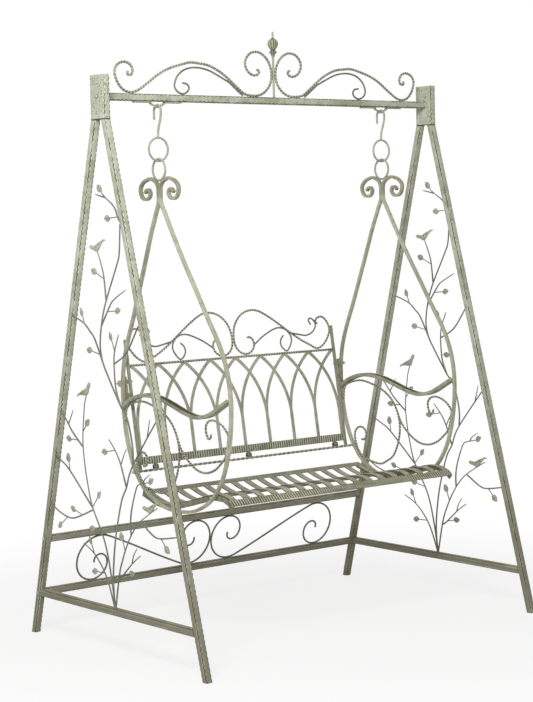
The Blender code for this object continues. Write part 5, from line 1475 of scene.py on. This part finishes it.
def back_crest_lines():
    rise = BACK_CREST_RISE
    rod_top = TOP_ROD_ABOVE_BOLT + BACK_ROD + GAP
    level = rod_top + BACK_CREST_ROD
    thin_level = rod_top + BACK_THIN_ROD
    shares = BACK_CURL_SHARES
    first = set_down(curl((0, 0), shares["outer"] * rise, shares["eye"] * rise, *degrees(-180, 90)), level)
    first = shifted(first, BACK_CREST_ROD + GAP - min(p.x for p in first), 0)
    shares = BACK_ARCH_SHARES
    bend = shares["bend"] * rise
    centre = (bend + BACK_CREST_ROD + GAP, TOP_ROD_ABOVE_BOLT + shares["height"] * rise)
    arch = arc(centre, bend, *degrees(180, 62))
    last = set_down(through(back_spots(BACK_END_SHARES)), level)
    last = shifted(last, POST_INNER_X - GAP - BACK_CREST_ROD - max(p.x for p in last), 0)
    tall = chain(list(reversed(first)), arch, last)
    middle = back_spots(BACK_MIDDLE_SHARES)
    middle[0] = nearest_spot(middle[0], [tall])
    small = back_spots(BACK_SMALL_SHARES)
    small[0] = nearest_spot(small[0], [tall])
    return tall, set_down(through(middle), thin_level), through(small)


def make_back_crest(word, side):
    tall, middle, small = [back_line(mirrored(line, side)) for line in back_crest_lines()]
    shape = Shape()
    add_twisted(shape, tall, BEHIND_BACK, BACK_CREST_ROD, WORN_TWIST)
    make_piece(word + "_back_crest_twist", shape, ROD_PAINT, "seat", [word + "_back_crest"])
    shape = Shape()
    for line in (middle, small):
        add_rod(shape, line, BEHIND_BACK, BACK_THIN_ROD)
    make_piece(word + "_back_crest_rods", shape, THIN_PAINT, "seat", [])


ARCH_STEPS = 18
ARCH_FOOT = 0.0005


def arch_line(foot, pitch):
    """A strip from its foot on the band straight up, then bent over to the top rod."""
    spring = ARCH_SPRING - BAND_TOP_BELOW_BOLT
    rise = TOP_ROD_ABOVE_BOLT - BACK_ROD * 0.6 - spring
    turn = 2 * math.atan2(abs(pitch), rise)
    bend = rise / math.sin(turn)
    way = math.copysign(1, pitch)
    points = [Vector((foot, -BAND_TOP_BELOW_BOLT - ARCH_FOOT))]
    for k in range(ARCH_STEPS + 1):
        angle = turn * k / ARCH_STEPS
        points.append(Vector((foot + way * bend * (1 - math.cos(angle)), spring + bend * math.sin(angle))))
    return points


def make_back_lattice():
    """Crossing arched strips, those that lean one way behind the others."""
    reach = POST_INNER_X - GAP - STRIP_WIDTH / 2
    pitch = 2 * reach / BAY_COUNT
    shape = Shape()
    for k in range(BAY_COUNT + 1):
        for lean in (-1, 1):
            if 0 <= k + lean <= BAY_COUNT:
                layer = BEHIND_BACK * lean * STRIP_LAYER
                line = [in_back_plane(p) + layer for p in arch_line(k * pitch - reach, lean * pitch)]
                width = STRIP_WIDTH - (GAP if lean > 0 else 0)
                add_bar(shape, line, BEHIND_BACK, STRIP_THICKNESS, width, STRIP_EASED, STRIP_SPACING)
    make_piece("back_arch_strips", shape, BACK_PAINT, "seat", ["back_arches"], 35)


def make_back_band():
    """The ribbed flat band under the arches, with its two long edges rounded."""
    half = POST_INNER_X - GAP
    count = RIB_COLUMNS * round(2 * half / RIB_PITCH)
    top = -BAND_TOP_BELOW_BOLT
    low = top - BAND_HEIGHT
    heights = ((low, 0.55), (low + 0.0012, 0.9), (low + 0.004, 1.0), (top - 0.004, 1.0), (top - 0.0012, 0.9),
               (top, 0.55))
    outline = [(z, -share) for z, share in heights] + [(z, share) for z, share in reversed(heights)]
    shape = Shape()
    rings = []
    for j in range(count + 1):
        x = -half + 2 * half * j / count
        wave = math.cos(math.tau * j / RIB_COLUMNS)
        depth = BAND_THICKNESS / 2 - RIB_DEPTH * 0.5 + RIB_DEPTH * 0.5 * wave
        rub = max(0.0, 0.6 + noise.noise(Vector((x * 12, 0.3, 5.0))))
        # Painted highlight on the rib crests and painted shade in the hollows between them.
        wear_and_highlight = -1.1 * rub * max(0.0, wave)
        painted_shade = min(1.0, 1.2 * max(0.0, -wave))
        rings.append(shape.ring([(in_back_plane((x, z)) + BEHIND_BACK * depth * share, wear_and_highlight, painted_shade)
                                 for z, share in outline]))
    shape.skin(rings)
    make_piece("back_ribbed_band", shape, BACK_PAINT, "seat", ["back_band"], 40)


KNOT_STEPS = 120
KNOT_NARROW_SHARE = 0.35
STUD_ROD = 0.0025
STUD_BITE = 0.002


def add_knot(shape, middle, start, outer, x):
    """A coil between the low rod and the band, widest in its middle."""
    coil = []
    for k in range(KNOT_STEPS + 1):
        turn = math.tau * KNOT_TURNS * k / KNOT_STEPS
        way = 2 * k / KNOT_STEPS - 1
        share = KNOT_NARROW_SHARE + (1 - KNOT_NARROW_SHARE) * math.sqrt(1 - way * way)
        round_it = Vector((math.cos(start + turn), math.sin(start + turn))) * (outer - KNUCKLE_ROD) * share
        coil.append(in_side_plane(middle + round_it, x + way * KNOT_REACH))
    add_rod(shape, coil, X_AXIS, KNUCKLE_ROD, sides=TWIG_SIDES, spacing=KNOT_SPACING)


def make_back_rods():
    """The top rod, the coils between the low rod and the band, and the low rod with its end studs."""
    half = POST_INNER_X - GAP
    shape = Shape()
    line = back_line([Vector((x, TOP_ROD_ABOVE_BOLT)) for x in (-half, half)])
    add_twisted(shape, line, BEHIND_BACK, BACK_ROD, WORN_TWIST)
    make_piece("back_top_twist", shape, ROD_PAINT, "seat", ["back_top_rod"])
    spot = hoop_spot(REAR, LOW_ROD_HEIGHT)
    edge = back_origin() + UP_BACK * (-BAND_TOP_BELOW_BOLT - BAND_HEIGHT) - BEHIND_BACK * BAND_THICKNESS / 2
    away = Vector((edge.y, edge.z)) - spot
    outer = (away.length - GAP) / 2
    shape = Shape()
    for x in (-KNUCKLE_X, 0, KNUCKLE_X):
        add_knot(shape, spot + away.normalized() * outer, math.atan2(away.y, away.x), outer, x)
    make_piece("back_coiled_knots", shape, THIN_PAINT, "seat", [])
    reach = HOOP_INNER_X - GAP
    shape = Shape()
    line = [in_side_plane(spot, x) for x in (-reach, reach)]
    add_twisted(shape, line, Y_AXIS, BACK_ROD, LOW_TWIST, LONG_TWIST_PITCH)
    for side in (-1, 1):
        ends = [in_side_plane(spot, side * x) for x in (reach - STUD_BITE, HOOP_OUTER_X + STUD_REACH)]
        add_rod(shape, ends, Y_AXIS, STUD_ROD)
    make_piece("back_low_twist", shape, ROD_PAINT, "seat", ["back_low_rod"])


# Frame nodes kept in their shape, with their edges eased


MERGE_DISTANCE = 0.00002
FLAT_ANGLE = math.radians(2)
SHARP_ANGLE = math.radians(40)
EASE_STEPS = 2
EASE_PROFILE = 0.6
EASED_FACE_SHARE = 0.02


def refine(node, body, material, ease):
    """A copy of a node with its sharp edges rounded and brown with wear."""
    work = bmesh.new()
    work.from_mesh(NODES[node].data)
    bmesh.ops.remove_doubles(work, verts=work.verts, dist=MERGE_DISTANCE)
    bmesh.ops.dissolve_limit(work, angle_limit=FLAT_ANGLE, verts=work.verts, edges=work.edges)
    sharp = [e for e in work.edges if len(e.link_faces) == 2 and e.calc_face_angle() > SHARP_ANGLE]
    bmesh.ops.bevel(work, geom=sharp, offset=ease, segments=EASE_STEPS, profile=EASE_PROFILE,
                    affect="EDGES", clamp_overlap=True)
    bmesh.ops.triangulate(work, faces=[f for f in work.faces if len(f.verts) > 4])
    for face in work.faces:
        face.smooth = True
    mesh = bpy.data.meshes.new(node + "_eased")
    work.to_mesh(mesh)
    small = [f for f in work.faces if f.calc_area() < ease * EASED_FACE_SHARE]
    eased = {corner.index for face in small for corner in face.verts}
    values = [0.7 if k in eased else 0.2 for k in range(len(mesh.vertices))]
    work.free()
    mesh.attributes.new("wear_and_highlight", "FLOAT", "POINT").data.foreach_set("value", values)
    mesh.set_sharp_from_angle(angle=SHARP_ANGLE)
    mesh.materials.clear()
    mesh.materials.append(material)
    piece = bpy.data.objects.new(node + "_eased", mesh)
    bpy.context.scene.collection.objects.link(piece)
    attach(piece, body)
    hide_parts(node)


# A dome from its rim to its top, in shares of its radius and height
DOME_SHARES = (
    (1.0, 0.30), (0.97, 0.50), (0.88, 0.70), (0.70, 0.87), (0.42, 0.97), (0.15, 1.0), (0.01, 1.0),
)
SHANK = 0.0024
WASHER = 0.0011
HEAD_SHARE = 0.84
BOLT_RADIUS = 0.0075
BOLT_HEIGHT = 0.0045
NUT_RADIUS = 0.0065
LOW_NUT_HEIGHT = 0.005
HIGH_NUT_HEIGHT = 0.011
BOLT_OVERRUN = 0.012
SEAT_BOLT_END = 0.4865
BACK_BOLT_END = 0.462


def make_fastener(node, body, x_from, x_to, side, spot, radius, height):
    """A domed head on a washer, with its shank back to the inner end, laid outwards along X."""
    shape = Shape()
    turn = Matrix.Rotation(side * math.pi / 2, 4, "Y")
    move = Matrix.Translation((side * x_from, spot[0], spot[1])) @ turn
    length = x_to - x_from
    base = length + WASHER
    head = radius * HEAD_SHARE
    rows = [(0.0002, 0.0, 0.0), (SHANK, 0.0004, 0.2), (SHANK, length, 0.2), (radius, length + 0.0001, 0.5),
            (radius, base, 0.2), (head, base, 0.9)]
    rows += [(head * across, base + (height - WASHER) * up, 0.0) for across, up in DOME_SHARES]
    add_turned(shape, rows, lambda p: move @ p, FASTENER_SIDES)
    make_piece(node + "_domed", shape, FASTENER, body, [node], 45)


def rear_rail_spot(top):
    z = top - TUBE / 2
    return leg_outer_y(z) - LEG_ACROSS / 2, z


def make_fasteners():
    outside = HALF_WIDTH + GAP
    inside = HALF_WIDTH - TUBE - BOLT_OVERRUN
    rail = beside(through(seat_profile(), FINE_CURVE_STEPS), SEAT_SHEET + GAP + SEAT_RAIL_HEIGHT / 2)
    face = HOOP_OUTER_X + GAP
    stand_rows = (
        ("beam_bolt", (0, BEAM_TOP - TUBE / 2)), ("upper_rail_bolt", rear_rail_spot(REAR_UPPER_RAIL_TOP)),
        ("lower_rail_bolt", rear_rail_spot(REAR_LOWER_RAIL_TOP)),
    )
    seat_rows = (
        ("seat_bolt", SEAT_BOLT_END, crossing(rail, through(hoop_side(FRONT))), LOW_NUT_HEIGHT),
        ("back_bolt", BACK_BOLT_END, hoop_spot(REAR, BACK_BOLT_HEIGHT), HIGH_NUT_HEIGHT),
        ("back_nut", face - 2 * GAP, hoop_spot(REAR, LOW_ROD_HEIGHT), HIGH_NUT_HEIGHT),
    )
    for word, side in SIDES:
        for label, spot in stand_rows:
            make_fastener(f"{word}_{label}", "stand", inside, outside, side, spot, BOLT_RADIUS, BOLT_HEIGHT)
        for label, end, spot, height in seat_rows:
            make_fastener(f"{word}_{label}", "seat", end, face, side, spot, NUT_RADIUS, height)


def make_everything():
    make_rails()
    make_stand_scrolls()
    make_finial()
    make_seat_panel()
    make_back_lattice()
    make_back_band()
    make_back_rods()
    for word, side in SIDES:
        make_legs(word, side)
        make_side_rail(word, side)
        make_block(word)
        make_tree(word, side, BRANCH_SHARES, TWIG_SHARES, LEAF_SHARES, BIRD_SHARES, "branch",
                  word + "_branches")
        make_tree(word, side, TOP_BRANCH_SHARES, (), TOP_LEAF_SHARES, (), "top_twig", word + "_top_twig")
        make_hanger(word, side)
        make_hoop(word, side)
        make_armrest(word, side)
        make_arm_scroll(word, side)
        make_back_crest(word, side)
        refine(word + "_back_post", "seat", BACK_PAINT, POST_EASED)
        refine(word + "_back_bracket", "seat", HOOP_PAINT, BRACKET_EASED)
        refine(word + "_seat_rail", "seat", SEAT_PAINT, PAD_EASED)
    make_fasteners()


# Room, light and camera


WHITE = (1, 1, 1, 1)
FLOOR_RADIUS = 14
FLOOR_SIDES = 48
FLOOR_COLOUR = (0.93, 0.93, 0.93, 1)
FLOOR_FADE = (0.8, 2.4)
NEAR_GLOW = 0.78
FAR_GLOW = 0.22


def make_floor():
    """A pale floor that fades into plain white away from the bench."""
    mesh = bpy.data.meshes.new("floor")
    turns = [math.tau * k / FLOOR_SIDES for k in range(FLOOR_SIDES)]
    ring = [(FLOOR_RADIUS * math.cos(turn), FLOOR_RADIUS * math.sin(turn), 0.0) for turn in turns]
    mesh.from_pydata(ring, [], [tuple(range(FLOOR_SIDES))])
    finish = Finish("pale_floor")
    where = finish.node("ShaderNodeTexCoord", None, "Object")
    away = finish.node("ShaderNodeVectorMath", {"operation": "LENGTH"}, "Value", Vector=where)
    path = finish.tree.nodes.new("ShaderNodeLightPath")
    seen = Wire(finish.tree, path.outputs["Is Camera Ray"])
    finish.shader.inputs["Base Color"].default_value = FLOOR_COLOUR
    finish.shader.inputs["Roughness"].default_value = 0.9
    glow = finish.node("ShaderNodeEmission", None, 0, Color=WHITE, Strength=1.0)
    mix = finish.tree.nodes.new("ShaderNodeMixShader")
    finish.set(mix.inputs[0], away.ramp(*FLOOR_FADE) * seen * FAR_GLOW + seen * NEAR_GLOW)
    finish.tree.links.new(finish.shader.outputs[0], mix.inputs[1])
    finish.tree.links.new(glow.socket, mix.inputs[2])
    finish.tree.links.new(mix.outputs[0], finish.output.inputs["Surface"])
    mesh.materials.append(finish.material)
    floor = bpy.data.objects.new("floor", mesh)
    bpy.context.scene.collection.objects.link(floor)


WORLD_COLOUR = (1.0, 0.99, 0.95, 1)
WORLD_STRENGTH = 0.335
LAMPS = (
    ("key_lamp", (-2.9, -2.2, 3.2), (-0.5, 0.0, 1.2), 1.6, 118.0),
    ("fill_lamp", (-1.0, -6.5, 2.6), (0.0, 0.0, 1.0), 3.2, 15.0),
)


def make_world():
    world = bpy.data.worlds.new("studio")
    world.use_nodes = True
    bpy.context.scene.world = world
    tree = world.node_tree
    path = tree.nodes.new("ShaderNodeLightPath")
    seen = Wire(tree, path.outputs["Is Camera Ray"])
    for kind in ("Is Glossy Ray", "Is Transmission Ray"):
        seen = seen.most(Wire(tree, path.outputs[kind]))
    soft = tree.nodes["Background"]
    soft.inputs["Color"].default_value = WORLD_COLOUR
    soft.inputs["Strength"].default_value = WORLD_STRENGTH
    white = tree.nodes.new("ShaderNodeBackground")
    white.inputs["Color"].default_value = WHITE
    white.inputs["Strength"].default_value = 1.0
    mix = tree.nodes.new("ShaderNodeMixShader")
    tree.links.new(seen.socket, mix.inputs[0])
    tree.links.new(soft.outputs[0], mix.inputs[1])
    tree.links.new(white.outputs[0], mix.inputs[2])
    tree.links.new(mix.outputs[0], tree.nodes["World Output"].inputs["Surface"])


def make_lamps():
    for name, place, aim, size, power in LAMPS:
        light = bpy.data.lights.new(name, "AREA")
        light.shape = "DISK"
        light.size = size
        light.energy = power
        lamp = bpy.data.objects.new(name, light)
        lamp.location = place
        lamp.rotation_euler = (Vector(aim) - Vector(place)).to_track_quat("-Z", "Y").to_euler()
        bpy.context.scene.collection.objects.link(lamp)


CAMERA_PLACE = (-4.146, -5.116, 1.443)
CAMERA_YAW = math.radians(-38.6123)
CAMERA_PITCH = math.radians(4.0613)
CAMERA_ROLL = math.radians(-1.3385)
FOCAL_PIXELS = 1859.12
PHOTO_HEIGHT = 702
SENSOR = 36.0


def make_camera():
    yaw, pitch, roll = CAMERA_YAW, CAMERA_PITCH, CAMERA_ROLL
    ahead = Vector((-math.sin(yaw) * math.cos(pitch), math.cos(yaw) * math.cos(pitch), -math.sin(pitch)))
    level = Vector((math.cos(yaw), math.sin(yaw), 0))
    up = level.cross(ahead)
    right = level * math.cos(roll) + up * math.sin(roll)
    upright = up * math.cos(roll) - level * math.sin(roll)
    lens = bpy.data.cameras.new("photo_camera")
    lens.sensor_fit = "AUTO"
    lens.sensor_width = SENSOR
    lens.lens = FOCAL_PIXELS * SENSOR / PHOTO_HEIGHT
    lens.clip_end = 60
    camera = bpy.data.objects.new("photo_camera", lens)
    turn = Matrix((right, upright, -ahead)).transposed()
    camera.matrix_world = Matrix.Translation(CAMERA_PLACE) @ turn.to_4x4()
    bpy.context.scene.collection.objects.link(camera)
    bpy.context.scene.camera = camera


make_everything()
make_floor()
make_world()
make_lamps()
make_camera()
bpy.context.scene.view_settings.view_transform = "Standard"
